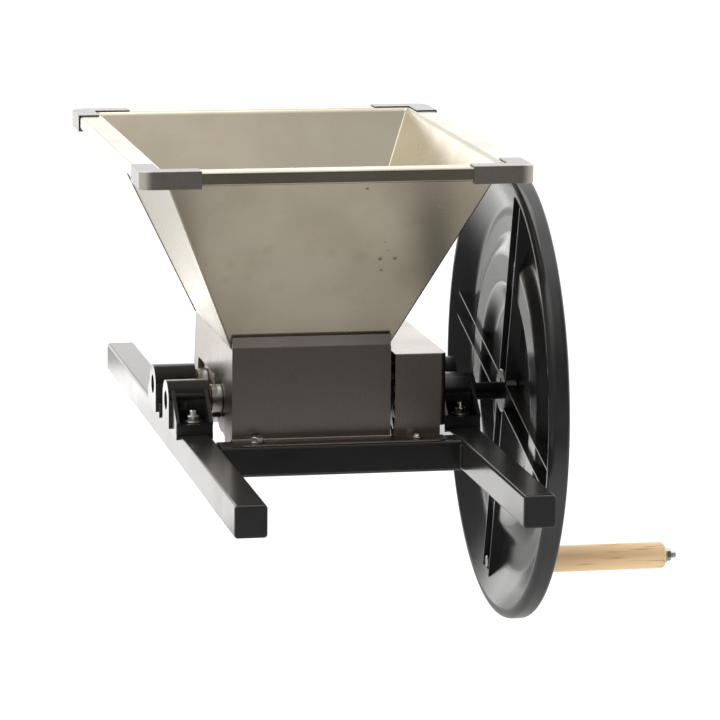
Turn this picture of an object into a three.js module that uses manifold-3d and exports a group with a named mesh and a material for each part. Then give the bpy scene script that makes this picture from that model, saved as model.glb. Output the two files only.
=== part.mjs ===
// Hand-cranked apple scratter (fruit mill): two toothed rollers under a steel
// hopper, geared together, turned by a dished flywheel with a wooden crank grip.
// Millimetres, +Z up. Origin: middle of the left rail's underside.
// +X runs along the shafts to the flywheel, -Y is the front.
import * as THREE from "three";
import { mergeVertices } from "three/addons/utils/BufferGeometryUtils.js";
import Module from "manifold-3d";

const wasm = await Module();
wasm.setup();

// ---------- driving dimensions ----------
const GAP = 0.3;              // assembly gap between pieces that touch

const RAIL = 35;              // square tube, outside
const TUBE_WALL = 2;
const TUBE_CORNER = 3;
const RAIL_LEN = 960;         // bare tube, without its end plugs
const RAIL_PITCH = 310;       // centre to centre of the two rails
const CROSS_Y = 168;          // cross bars, each side of the middle

const AXIS_Z = 64.5;           // roller shafts above the rails' underside
const AXIS_Y = 50;            // half the centre distance of the shafts
const SHAFT_R = 10;
const SHAFT_LEFT = -20;       // left end, recessed in the left blocks

const BLOCK_HALF_X = 24.2;    // bearing block
const BLOCK_R = 23;
const BLOCK_FOOT_Y = 60.5;
const BLOCK_HEEL_Y = 30;
const BLOCK_FOOT_X = 21;
const BLOCK_FOOT_TOP = 47;
const STUD_Y = 45.5;          // stud from the shaft axis

const SHEET = 1.5;            // hopper and mill box sheet
const BOX_X0 = 34.5;          // mill box, outside of its left wall
const BOX_X1 = 215.7;
const BOX_FRONT = -158.5;     // outer face of the front panel
const BOX_SEAM_Z = 140;       // hopper meets the box walls
const PANEL_TOP_Z = 154.5;
const BOX_FOOT_Z = 2;         // lower end of the chute walls

const RIM_X0 = -90.2, RIM_X1 = 340.2;
const RIM_Y0 = -305.9, RIM_Y1 = 255.7;
const RIM_Z = 361.2;
const RIM_W = 25.9;
const RIM_LIP = 15;
const MOUTH_X0 = 34.4, MOUTH_X1 = 215.8;   // lower opening of the hopper, outside
const MOUTH_Y0 = -147.7, MOUTH_Y1 = 97.5;

const ROLLER_R = 47.5;
const ROLLER_ROOT = 38.5;
const ROLLER_X0 = 45, ROLLER_X1 = 211;
const ROLLER_TEETH = 10;

const GEAR_MODULE = 5;
const GEAR_TEETH = 20;
const GEAR_X0 = 232, GEAR_X1 = 252;

const WHEEL_R = 264.5;
const WHEEL_EDGE_X = 362.3;   // open edge of the rim
const WHEEL_BACK_X = 385.5;   // outer face of the dish
const WHEEL_TURN = 15.5;      // degrees, first spoke from +Y toward +Z
const GRIP_R = 226;           // grip spindle from the wheel axis
const GRIP_X0 = 387.5, GRIP_X1 = 586.5;

// ---------- materials ----------
const mat = (color, roughness, metalness) => new THREE.MeshStandardMaterial({ color, roughness, metalness });
const M = {
  frame: () => mat(0x141414, 0.45, 0.0),
  steel: () => mat(0x8f8776, 0.38, 1.0),
  nylon: () => mat(0x111111, 0.3, 0.0),
  plug: () => mat(0x0c0c0c, 0.55, 0.0),
  corner: () => mat(0x857c6b, 0.5, 0.0),
  zinc: () => mat(0xb9b6ae, 0.35, 1.0),
  shaft: () => mat(0x3c3c3c, 0.35, 1.0),
  bronze: () => mat(0x8c6a36, 0.4, 1.0),
  roller: () => mat(0xcfcabd, 0.55, 0.0),
  wood: () => mat(0xb98a5a, 0.5, 0.0),
};

// ---------- geometry helpers ----------
function toSolid(geometry) {
  let g = geometry.clone();
  for (const name of Object.keys(g.attributes)) if (name !== "position") g.deleteAttribute(name);
  if (!geometry.userData.merged) g = mergeVertices(g, 1e-4);
  const p = g.attributes.position.array;
  const idx = g.index.array;
  const tri = [];
  let volume = 0;
  for (let i = 0; i < idx.length; i += 3) {
    const a = idx[i], b = idx[i + 1], c = idx[i + 2];
    if (a === b || b === c || a === c) continue;
    tri.push(a, b, c);
    const [ax, ay, az] = [p[3 * a], p[3 * a + 1], p[3 * a + 2]];
    const [bx, by, bz] = [p[3 * b], p[3 * b + 1], p[3 * b + 2]];
    const [cx, cy, cz] = [p[3 * c], p[3 * c + 1], p[3 * c + 2]];
    volume += ax * (by * cz - bz * cy) + ay * (bz * cx - bx * cz) + az * (bx * cy - by * cx);
  }
  if (volume < 0) for (let i = 0; i < tri.length; i += 3) [tri[i + 1], tri[i + 2]] = [tri[i + 2], tri[i + 1]];
  return new wasm.Manifold(new wasm.Mesh({
    numProp: 3,
    vertProperties: new Float32Array(p),
    triVerts: new Uint32Array(tri),
  }));
}

function toGeometry(solid) {
  const m = solid.getMesh();
  const g = new THREE.BufferGeometry();
  g.setAttribute("position", new THREE.BufferAttribute(new Float32Array(m.vertProperties), 3));
  g.setIndex(new THREE.BufferAttribute(new Uint32Array(m.triVerts), 1));
  g.computeVertexNormals();
  g.userData.merged = true;
  return g;
}

const join = (...gs) => gs.map(toSolid).reduce((a, b) => a.add(b));
const cut = (solid, ...gs) => gs.map(toSolid).reduce((a, b) => a.subtract(b), solid);

const box = (x0, x1, y0, y1, z0, z1) =>
  new THREE.BoxGeometry(x1 - x0, y1 - y0, z1 - z0).translate((x0 + x1) / 2, (y0 + y1) / 2, (z0 + z1) / 2);

const V = (x, y, z) => new THREE.Vector3(x, y, z);
const wound = (pts, clockwise) => {
  const v = pts.map((q) => new THREE.Vector2(q[0], q[1]));
  return THREE.ShapeUtils.isClockWise(v) === clockwise ? v : v.reverse();
};
function prism(pts, a, b, holes, basis) {
  const shape = new THREE.Shape(wound(pts, false));
  for (const h of holes) shape.holes.push(new THREE.Path(wound(h, true)));
  const g = new THREE.ExtrudeGeometry(shape, { depth: b - a, bevelEnabled: false, steps: 1 });
  g.translate(0, 0, a);
  if (basis) g.applyMatrix4(basis);
  return g;
}
const swap = (pts) => pts.map((q) => [q[1], q[0]]);
// outline in (y, z), swept along X
const alongX = (pts, x0, x1, holes = []) =>
  prism(pts, x0, x1, holes, new THREE.Matrix4().makeBasis(V(0, 1, 0), V(0, 0, 1), V(1, 0, 0)));
// outline in (x, z), swept along Y
const alongY = (pts, y0, y1, holes = []) =>
  prism(swap(pts), y0, y1, holes.map(swap), new THREE.Matrix4().makeBasis(V(0, 0, 1), V(1, 0, 0), V(0, 1, 0)));
// outline in (x, y), swept along Z
const alongZ = (pts, z0, z1, holes = []) => prism(pts, z0, z1, holes, null);

// profile points are [distance along the axis, radius]
const latheY = (profile, n) => new THREE.LatheGeometry(profile.map(([h, r]) => new THREE.Vector2(r, h)), n);
const latheX = (profile, n) => latheY(profile, n).rotateZ(-Math.PI / 2);
const latheZ = (profile, n) => latheY(profile, n).rotateX(Math.PI / 2);

function roundedRect(w, h, r, n = 3, cx = 0, cy = 0) {
  const out = [];
  const corners = [[w / 2 - r, h / 2 - r, 0], [-w / 2 + r, h / 2 - r, 90], [-w / 2 + r, -h / 2 + r, 180], [w / 2 - r, -h / 2 + r, 270]];
  for (const [x, y, a0] of corners) {
    for (let i = 0; i <= n; i++) {
      const a = ((a0 + (90 * i) / n) * Math.PI) / 180;
      out.push([cx + x + r * Math.cos(a), cy + y + r * Math.sin(a)]);
    }
  }
  return out;
}
const circle = (cx, cy, r, n, phase = 0) =>
  Array.from({ length: n }, (_, i) => {
    const a = phase + (2 * Math.PI * i) / n;
    return [cx + r * Math.cos(a), cy + r * Math.sin(a)];
  });
const hexPts = (cx, cy, af, phase = 0) => circle(cx, cy, af / Math.sqrt(3), 6, phase);

// a box whose lower and upper rectangles differ: [x0, x1, y0, y1]
function funnel(low, high, z0, z1) {
  const g = new THREE.BoxGeometry(1, 1, 1);
  const p = g.attributes.position;
  for (let i = 0; i < p.count; i++) {
    const q = p.getZ(i) < 0 ? low : high;
    p.setXYZ(i, p.getX(i) < 0 ? q[0] : q[1], p.getY(i) < 0 ? q[2] : q[3], p.getZ(i) < 0 ? z0 : z1);
  }
  return g;
}

const scratter = new THREE.Group();
scratter.name = "apple_scratter";
function put(parent, name, solid, material, at = [0, 0, 0]) {
  const mesh = new THREE.Mesh(toGeometry(solid), material);
  mesh.name = name;
  mesh.position.set(...at);
  parent.add(mesh);
  return mesh;
}
const group = () => {
  const g = new THREE.Group();
  scratter.add(g);
  return g;
};

// ---------- frame: two rails, two cross bars, end plugs ----------
const frame = group();
const tubeOut = roundedRect(RAIL, RAIL, TUBE_CORNER, 3, 0, RAIL / 2);
const tubeIn = roundedRect(RAIL - 2 * TUBE_WALL, RAIL - 2 * TUBE_WALL, 1.2, 2, 0, RAIL / 2);
const studs = [[0, -1], [0, 1], [RAIL_PITCH, -1], [RAIL_PITCH, 1]];
const studAt = (s) => s * (AXIS_Y + STUD_Y);
for (const [name, x] of [["left_rail", 0], ["right_rail", RAIL_PITCH]]) {
  const tube = toSolid(alongY(tubeOut, -RAIL_LEN / 2, RAIL_LEN / 2, [tubeIn]));
  const holes = [-1, 1].map((s) => alongZ(circle(0, studAt(s), 4.5, 12), RAIL - 5, RAIL + 5));
  put(frame, name, cut(tube, ...holes), M.frame(), [x, 0, 0]);
}
const crossOut = roundedRect(RAIL, RAIL, TUBE_CORNER, 3, 0, RAIL / 2);
const BOX_BOLT_X = [61, 190], COVER_BOLT_X = 243.5;
const CROSS_X0 = RAIL / 2 + GAP, CROSS_X1 = RAIL_PITCH - RAIL / 2 - GAP;
const FRONT_BOLT_Y = -171.5, REAR_BOLT_Y = CROSS_Y;
{
  const bar = (y, bolts) => {
    const tube = toSolid(alongX(crossOut.map(([u, z]) => [y + u, z]), CROSS_X0, CROSS_X1, [tubeIn.map(([u, z]) => [y + u, z])]));
    return cut(tube, ...bolts.map(([bx, by, r]) => alongZ(circle(bx, by, r, 12), RAIL - 5, RAIL + 5)));
  };
  put(frame, "front_cross_bar", bar(-CROSS_Y, [[BOX_BOLT_X[0], FRONT_BOLT_Y, 4.4], [COVER_BOLT_X, FRONT_BOLT_Y, 3.4]]), M.frame());
  put(frame, "rear_cross_bar", bar(CROSS_Y, BOX_BOLT_X.map((x) => [x, REAR_BOLT_Y, 4.4])), M.frame());
}
for (const [name, x, s] of [["rail_plug_front_left", 0, -1], ["rail_plug_front_right", RAIL_PITCH, -1],
  ["rail_plug_rear_left", 0, 1], ["rail_plug_rear_right", RAIL_PITCH, 1]]) {
  const y0 = s * (RAIL_LEN / 2 + GAP);
  const span = (a, b) => [Math.min(a, b), Math.max(a, b)];
  const cap = alongY(roundedRect(RAIL, RAIL, 3.5, 3, 0, RAIL / 2), ...span(y0, y0 + 3 * s));
  const stem = alongY(roundedRect(30.4, 30.4, 1, 1, 0, RAIL / 2), ...span(y0 + 0.5 * s, y0 - 14 * s));
  put(frame, name, join(cap, stem), M.plug(), [x, 0, 0]);
}

// ---------- bearing blocks, bushes, studs and nuts ----------
function blockSolid(sx, sy) {
  const arch = [[-BLOCK_R, RAIL + GAP], [BLOCK_R, RAIL + GAP]];
  for (let i = 0; i <= 14; i++) {
    const a = (Math.PI * i) / 14;
    arch.push([BLOCK_R * Math.cos(a), AXIS_Z + BLOCK_R * Math.sin(a)]);
  }
  const web = [[-BLOCK_FOOT_Y, BLOCK_FOOT_TOP - 1], [-BLOCK_FOOT_Y, BLOCK_FOOT_TOP + 2.5], [-22, 79], [-19, 79], [-19, BLOCK_FOOT_TOP - 1]];
  const F = BLOCK_FOOT_X;
  const body = join(
    alongX(arch, -BLOCK_HALF_X, BLOCK_HALF_X),
    box(-F, F, -BLOCK_FOOT_Y, BLOCK_HEEL_Y, RAIL + GAP, BLOCK_FOOT_TOP),
    alongX(web, -F, -F + 4), alongX(web, F - 4, F),
    box(-F, -RAIL / 2 - GAP, -BLOCK_FOOT_Y, BLOCK_HEEL_Y, 29.5, RAIL + GAP + 1),
    box(RAIL / 2 + GAP, F, -BLOCK_FOOT_Y, BLOCK_HEEL_Y, 29.5, RAIL + GAP + 1),
  );
  const bored = cut(body,
    alongX(circle(0, AXIS_Z, 13.5, 20), -16, 40),
    alongX(circle(0, AXIS_Z, 10.9, 20), -40, -10),
    alongZ(circle(0, -STUD_Y, 4.6, 12), RAIL - 2, BLOCK_FOOT_TOP + 3));
  return toSolid(toGeometry(bored).applyMatrix4(new THREE.Matrix4().makeScale(sx, sy, 1)));
}
function bushSolid(sx) {
  const g = latheX([[-15.7, 10.5], [-15.7, 13], [BLOCK_HALF_X + GAP, 13], [BLOCK_HALF_X + GAP, 16.5], [26.5, 16.5], [26.5, 10.5], [-15.7, 10.5]], 20);
  g.applyMatrix4(new THREE.Matrix4().makeScale(sx, 1, 1));
  return toSolid(g);
}
const studSolid = () => toSolid(latheZ([[29.7, 0], [29.7, 7], [32.7, 7], [32.7, 4], [59.6, 4], [61, 2.6], [61, 0]], 12));
const nutSolid = () => cut(join(
  alongZ(circle(0, 0, 10, 16), BLOCK_FOOT_TOP + GAP, BLOCK_FOOT_TOP + GAP + 1.8),
  alongZ(hexPts(0, 0, 13, Math.PI / 6), BLOCK_FOOT_TOP + GAP + 1, BLOCK_FOOT_TOP + 8.2)),
alongZ(circle(0, 0, 4.4, 12), 40, 70));
for (const [where, x, s, sx] of [["front_left", 0, -1, 1], ["front_right", RAIL_PITCH, -1, -1],
  ["rear_left", 0, 1, 1], ["rear_right", RAIL_PITCH, 1, -1]]) {
  const g = new THREE.Group();
  g.position.set(x, s * AXIS_Y, 0);
  scratter.add(g);
  put(g, `bearing_block_${where}`, blockSolid(sx, -s), M.nylon());
  put(g, `bush_${where}`, bushSolid(sx), M.bronze(), [0, 0, AXIS_Z]);
  put(g, `block_stud_${where}`, studSolid(), M.zinc(), [0, s * STUD_Y, 0]);
  put(g, `block_nut_${where}`, nutSolid(), M.zinc(), [0, s * STUD_Y, 0]);
}

// ---------- mill box under the hopper ----------
const millBox = group();
const FLANGE_Z0 = RAIL + GAP, FLANGE_Z1 = RAIL + GAP + SHEET;
const FLANGE_Y0 = -185;
function flangePlate(x0, x1, roundRight, roundLeft) {
  const r = 10, pts = [];
  if (roundLeft) for (let i = 0; i <= 4; i++) { const a = Math.PI + (i * Math.PI) / 8; pts.push([x0 + r + r * Math.cos(a), FLANGE_Y0 + r + r * Math.sin(a)]); }
  else pts.push([x0, FLANGE_Y0]);
  if (roundRight) for (let i = 0; i <= 4; i++) { const a = 1.5 * Math.PI + (i * Math.PI) / 8; pts.push([x1 - r + r * Math.cos(a), FLANGE_Y0 + r + r * Math.sin(a)]); }
  else pts.push([x1, FLANGE_Y0]);
  pts.push([x1, BOX_FRONT + SHEET], [x0, BOX_FRONT + SHEET]);
  return alongZ(pts, FLANGE_Z0, FLANGE_Z1);
}
// front panel: folded top edge, foot flange on the front cross bar
{
  const profile = [[BOX_FRONT, FLANGE_Z0], [BOX_FRONT + SHEET, FLANGE_Z0], [BOX_FRONT + SHEET, PANEL_TOP_Z - SHEET],
    [BOX_FRONT + SHEET, PANEL_TOP_Z], [BOX_FRONT + 0.5, PANEL_TOP_Z], [BOX_FRONT, PANEL_TOP_Z - 0.8]];
  const body = join(alongX(profile, BOX_X0 - 0.2, BOX_X1 - 0.8), flangePlate(BOX_X0 - 0.2, BOX_X1 + 1.8, false, true));
  put(millBox, "box_front_panel", cut(body, alongZ(circle(BOX_BOLT_X[0], FRONT_BOLT_Y, 4.4, 12), RAIL - 5, RAIL + 10)), M.steel());
}
// rear panel: leans back, long flange to the rear cross bar
const REAR_TOP_Y = 97.6, REAR_LOW_Y = 118;
{
  const profile = [[REAR_TOP_Y, BOX_SEAM_Z - GAP], [REAR_TOP_Y + SHEET, BOX_SEAM_Z - GAP], [REAR_LOW_Y + SHEET + 0.3, FLANGE_Z1],
    [CROSS_Y + 16, FLANGE_Z1], [CROSS_Y + 16, FLANGE_Z0], [REAR_LOW_Y, FLANGE_Z0]];
  const body = toSolid(alongX(profile, BOX_X0, BOX_X1));
  put(millBox, "box_rear_panel", cut(body, ...BOX_BOLT_X.map((x) => alongZ(circle(x, REAR_BOLT_Y, 4.4, 12), RAIL - 5, RAIL + 10))), M.steel());
}
// side walls, slotted from below over both shafts
{
  const top = BOX_SEAM_Z - GAP;
  const rearY = (z) => REAR_TOP_Y - GAP - 0.1 + ((top - z) * (REAR_LOW_Y - REAR_TOP_Y)) / (top - FLANGE_Z0);
  const slotF = -107.5, slotR = 84, slotTop = 90;
  const side = [
    [BOX_FRONT + SHEET + GAP, top], [BOX_FRONT + SHEET + GAP, FLANGE_Z1 + GAP], [-CROSS_Y + RAIL / 2 + GAP, FLANGE_Z1 + GAP],
    [-CROSS_Y + RAIL / 2 + GAP, BOX_FOOT_Z], [slotF, BOX_FOOT_Z], [slotF, slotTop - 10], [slotF + 3, slotTop - 3], [slotF + 10, slotTop],
    [slotR - 10, slotTop], [slotR - 3, slotTop - 3], [slotR, slotTop - 10], [slotR, BOX_FOOT_Z], [rearY(FLANGE_Z0), BOX_FOOT_Z],
    [rearY(FLANGE_Z0), FLANGE_Z0], [rearY(top), top]];
  put(millBox, "box_left_wall", toSolid(alongX(side, BOX_X0, BOX_X0 + SHEET)), M.steel());
  put(millBox, "box_right_wall", toSolid(alongX(side, BOX_X1 - SHEET, BOX_X1)), M.steel());
}
// inner guide plate that leads the fruit to the front roller
{
  const profile = [[-147.4, 139.2], [-145.6, 139.2], [-102.6, 86], [-102.6, BOX_FOOT_Z], [-104.1, BOX_FOOT_Z], [-104.1, 85.4]];
  put(millBox, "feed_guide_plate", toSolid(alongX(profile, BOX_X0 + SHEET + GAP, BOX_X1 - SHEET - GAP)), M.steel());
}
// gear cover: front, top, rear and right side in one folded sheet
{
  const x0 = 220.5, x1 = 279.5, y0 = BOX_FRONT, y1 = 112, zTop = 130.5, zLow = FLANGE_Z0, r = 7;
  const plan = (d, rr) => {
    const out = [[x0, y0 + d]];
    for (let i = 0; i <= 4; i++) { const a = -Math.PI / 2 + (i * Math.PI) / 8; out.push([x1 - r + rr * Math.cos(a), y0 + r + rr * Math.sin(a)]); }
    for (let i = 0; i <= 4; i++) { const a = (i * Math.PI) / 8; out.push([x1 - r + rr * Math.cos(a), y1 - r + rr * Math.sin(a)]); }
    out.push([x0, y1 - d]);
    return out;
  };
  const outer = alongZ(plan(0, r), zLow, zTop);
  const inner = alongZ(plan(SHEET, r - SHEET).map(([x, y]) => [x === x0 ? x0 - 5 : x, y]), zLow - 5, zTop - SHEET);
  const flange = flangePlate(BOX_X1 + 2.2, x1 - 3.5, true, false);
  const slotL = -66, slotR = 66;
  const shell = cut(toSolid(outer), inner,
    box(x1 - 12, x1 + 5, slotL, slotR, zLow - 5, 84),
    box(x0 - 5, x1 - 9, y1 - 20, y1 + 5, zLow - 5, 60),
    box(x1 - 6.9, x1 + 5, y0 - 5, y1 + 5, zLow - 5, 48));
  const body = shell.add(toSolid(flange));
  put(millBox, "gear_cover", cut(body, alongZ(circle(COVER_BOLT_X, FRONT_BOLT_Y, 3.4, 12), RAIL - 5, RAIL + 10)), M.steel());
}
// hex bolts with pressed washers, and the dome bolt of the gear cover
const boxBolt = () => join(
  alongZ(circle(0, 0, 8, 14), FLANGE_Z1 + GAP, FLANGE_Z1 + GAP + 1.6),
  alongZ(hexPts(0, 0, 13, 0.3), FLANGE_Z1 + GAP + 0.8, FLANGE_Z1 + GAP + 6.9),
  alongZ(circle(0, 0, 4, 12), 18, FLANGE_Z1 + GAP + 2));
put(millBox, "box_bolt_front", boxBolt(), M.zinc(), [BOX_BOLT_X[0], FRONT_BOLT_Y, 0]);
put(millBox, "box_bolt_rear_left", boxBolt(), M.zinc(), [BOX_BOLT_X[0], REAR_BOLT_Y, 0]);
put(millBox, "box_bolt_rear_right", boxBolt(), M.zinc(), [BOX_BOLT_X[1], REAR_BOLT_Y, 0]);
{
  const z = FLANGE_Z1 + GAP;
  put(millBox, "cover_bolt", toSolid(latheZ([[20, 0], [20, 3], [z, 3], [z, 6.5], [z + 1.4, 6.5], [z + 1.4, 5], [z + 3.4, 4.2], [z + 4.8, 2.2], [z + 5.1, 0]], 14)),
    M.zinc(), [COVER_BOLT_X, FRONT_BOLT_Y, 0]);
}

// ---------- hopper and its rim corners ----------
const hopperGroup = group();
{
  const low = [MOUTH_X0, MOUTH_X1, MOUTH_Y0, MOUTH_Y1];
  const high = [RIM_X0 + RIM_W, RIM_X1 - RIM_W, RIM_Y0 + RIM_W, RIM_Y1 - RIM_W];
  const inset = (q, d, e) => [q[0] + d, q[1] - d, q[2] + e, q[3] - e];
  const z0 = BOX_SEAM_Z, z1 = RIM_Z;
  // inner faces carried past both ends so that the cut is clean
  const k = (z) => (z - z0) / (z1 - z0);
  const at = (z) => low.map((v, i) => v + (high[i] - v) * k(z));
  const outer = funnel(at(z0), at(z1), z0, z1);
  const inner = funnel(inset(at(z0 - 2), 1.65, 1.75), inset(at(z1 + 2), 1.65, 1.75), z0 - 2, z1 + 2);
  const cx = (RIM_X0 + RIM_X1) / 2, cy = (RIM_Y0 + RIM_Y1) / 2, w = RIM_X1 - RIM_X0, d = RIM_Y1 - RIM_Y0;
  const ring = (dw, r, n) => roundedRect(w - 2 * dw, d - 2 * dw, r, n, cx, cy);
  const flangeOut = alongZ(ring(0, 8, 4), z1 - RIM_LIP, z1);
  const underside = cut(toSolid(alongZ(ring(SHEET, 6.5, 4), z1 - RIM_LIP + SHEET, z1 - SHEET)), outer);
  const lipOpen = cut(toSolid(alongZ(ring(9, 3, 2), z1 - RIM_LIP - 1, z1 - RIM_LIP + SHEET + 1)), outer);
  let rim = toSolid(flangeOut).subtract(underside).subtract(lipOpen);
  const funnelShell = toSolid(outer).add(rim).subtract(toSolid(inner));
  put(hopperGroup, "hopper", funnelShell, M.steel());
}
for (const [name, sx, sy] of [["rim_corner_front_left", -1, -1], ["rim_corner_front_right", 1, -1],
  ["rim_corner_rear_left", -1, 1], ["rim_corner_rear_right", 1, 1]]) {
  // modelled as the corner at +x +y of the rim, local origin on the rim's corner
  const L = 66, W = 23.5, out = 1.5, t = 1.2, top = GAP + t, low = -18;
  const plan = (o, leg, width, r, n) => {
    const pts = [[-leg, -width], [-leg, o]];
    for (let i = 0; i <= n; i++) { const a = Math.PI / 2 - (i * Math.PI) / 2 / n; pts.push([o - r + r * Math.cos(a), o - r + r * Math.sin(a)]); }
    pts.push([o, -leg], [-width, -leg], [-width, -width]);
    return pts;
  };
  const body = cut(toSolid(alongZ(plan(out, L, W, 9.5, 5), low, top)),
    alongZ(plan(GAP, L + 5, W + 10, 8.3, 5), -RIM_LIP - GAP, GAP),
    alongZ(plan(-9, L + 5, W + 10, 3, 2), low - 5, -RIM_LIP));
  const g = toGeometry(body).applyMatrix4(new THREE.Matrix4().makeScale(sx, sy, 1));
  put(hopperGroup, name, toSolid(g), M.corner(), [sx > 0 ? RIM_X1 : RIM_X0, sy > 0 ? RIM_Y1 : RIM_Y0, RIM_Z]);
}

// ---------- shafts, rollers, discs, collars, gears ----------
const HUB_END_X = 389;
const shafts = [
  { name: "drive", y: -AXIS_Y, end: HUB_END_X - 3, hand: 1 },
  { name: "driven", y: AXIS_Y, end: RAIL_PITCH + 20, hand: -1 },
];
const KEY_X0 = 371, KEY_X1 = 384, KEY_W = 6;
function rollerGeometry(hand) {
  const pts = [];
  const step = (2 * Math.PI) / ROLLER_TEETH;
  for (let i = 0; i < ROLLER_TEETH; i++) {
    const a = i * step;
    for (const [da, r] of [[-0.3, ROLLER_ROOT], [-0.09, ROLLER_R], [0.09, ROLLER_R], [0.3, ROLLER_ROOT]]) {
      pts.push([r * Math.cos(a + da * (step / 0.63)), r * Math.sin(a + da * (step / 0.63))]);
    }
  }
  const shape = new THREE.Shape(pts.map((q) => new THREE.Vector2(...q)));
  shape.holes.push(new THREE.Path(circle(0, 0, SHAFT_R + 0.6, 16).map((q) => new THREE.Vector2(...q))));
  const g = new THREE.ExtrudeGeometry(shape, { depth: ROLLER_X1 - ROLLER_X0, bevelEnabled: false, steps: 4 });
  const p = g.attributes.position;
  for (let i = 0; i < p.count; i++) {
    const t = (hand * (30 * Math.PI) / 180 * p.getZ(i)) / (ROLLER_X1 - ROLLER_X0);
    const x = p.getX(i), y = p.getY(i);
    p.setXY(i, x * Math.cos(t) - y * Math.sin(t), x * Math.sin(t) + y * Math.cos(t));
  }
  g.translate(0, 0, ROLLER_X0);
  g.applyMatrix4(new THREE.Matrix4().makeBasis(V(0, 1, 0), V(0, 0, 1), V(1, 0, 0)));
  return g;
}
function gearSolid(phase) {
  const N = GEAR_TEETH, rp = (GEAR_MODULE * N) / 2, rb = rp * Math.cos((20 * Math.PI) / 180);
  const ra = rp + 4.6, rf = rp - 6.3;
  const inv = (a) => Math.tan(a) - a;
  const half = Math.PI / (2 * N) - 0.0075;
  const ang = (r) => half + inv((20 * Math.PI) / 180) - (r > rb ? inv(Math.acos(rb / r)) : 0);
  const flank = [[rf, ang(rb) + 0.012], [rb + 1.2, ang(rb + 1.2)], [ra, ang(ra)]];
  const pts = [];
  for (let i = 0; i < N; i++) {
    const a = phase + (i * 2 * Math.PI) / N;
    for (const [r, d] of flank) pts.push([r * Math.cos(a - d), r * Math.sin(a - d)]);
    for (const [r, d] of [...flank].reverse()) pts.push([r * Math.cos(a + d), r * Math.sin(a + d)]);
  }
  return cut(join(alongX(pts, GEAR_X0, GEAR_X1), alongX(circle(0, 0, 18, 20), GEAR_X0 - 8, GEAR_X1 + 8)),
    alongX(circle(0, 0, SHAFT_R + 0.5, 20), GEAR_X0 - 20, GEAR_X1 + 20));
}
for (const s of shafts) {
  const g = new THREE.Group();
  g.position.set(0, s.y, AXIS_Z);
  scratter.add(g);
  const c = 1;
  let shaft = toSolid(latheX([[SHAFT_LEFT, 0], [SHAFT_LEFT, SHAFT_R - c], [SHAFT_LEFT + c, SHAFT_R], [s.end - c, SHAFT_R], [s.end, SHAFT_R - c], [s.end, 0]], 20));
  if (s.name === "drive") {
    shaft = cut(shaft, box(KEY_X0, KEY_X1, -KEY_W / 2, KEY_W / 2, 6.5, 12), alongX(circle(0, 0, 4.4, 12), s.end - 26, s.end + 5));
  }
  put(g, `${s.name}_shaft`, shaft, M.shaft());
  put(g, `${s.name}_roller`, toSolid(rollerGeometry(s.hand)), M.roller());
  put(g, `${s.name}_gear`, gearSolid(s.name === "drive" ? 0 : Math.PI / GEAR_TEETH), M.nylon());
  put(g, `${s.name}_end_disc`, toSolid(alongX(circle(0, 0, 38.5, 32), 40, 43.2, [circle(0, 0, SHAFT_R + 0.5, 20)])), M.steel());
  // set collar with a screw pointing down
  const collar = cut(toSolid(alongX(circle(0, 0, 16.5, 20), 26.9, 39.6, [circle(0, 0, SHAFT_R + 0.5, 20)])),
    alongZ(circle(34.5, 0, 3.4, 10), -20, -5));
  put(g, `${s.name}_collar`, collar, M.zinc());
  put(g, `${s.name}_collar_screw`, join(alongZ(circle(34.5, 0, 3, 10), -17.2, -10.6), alongZ(hexPts(34.5, 0, 10, Math.PI / 6), -21, -16.9)), M.zinc());
}

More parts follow.
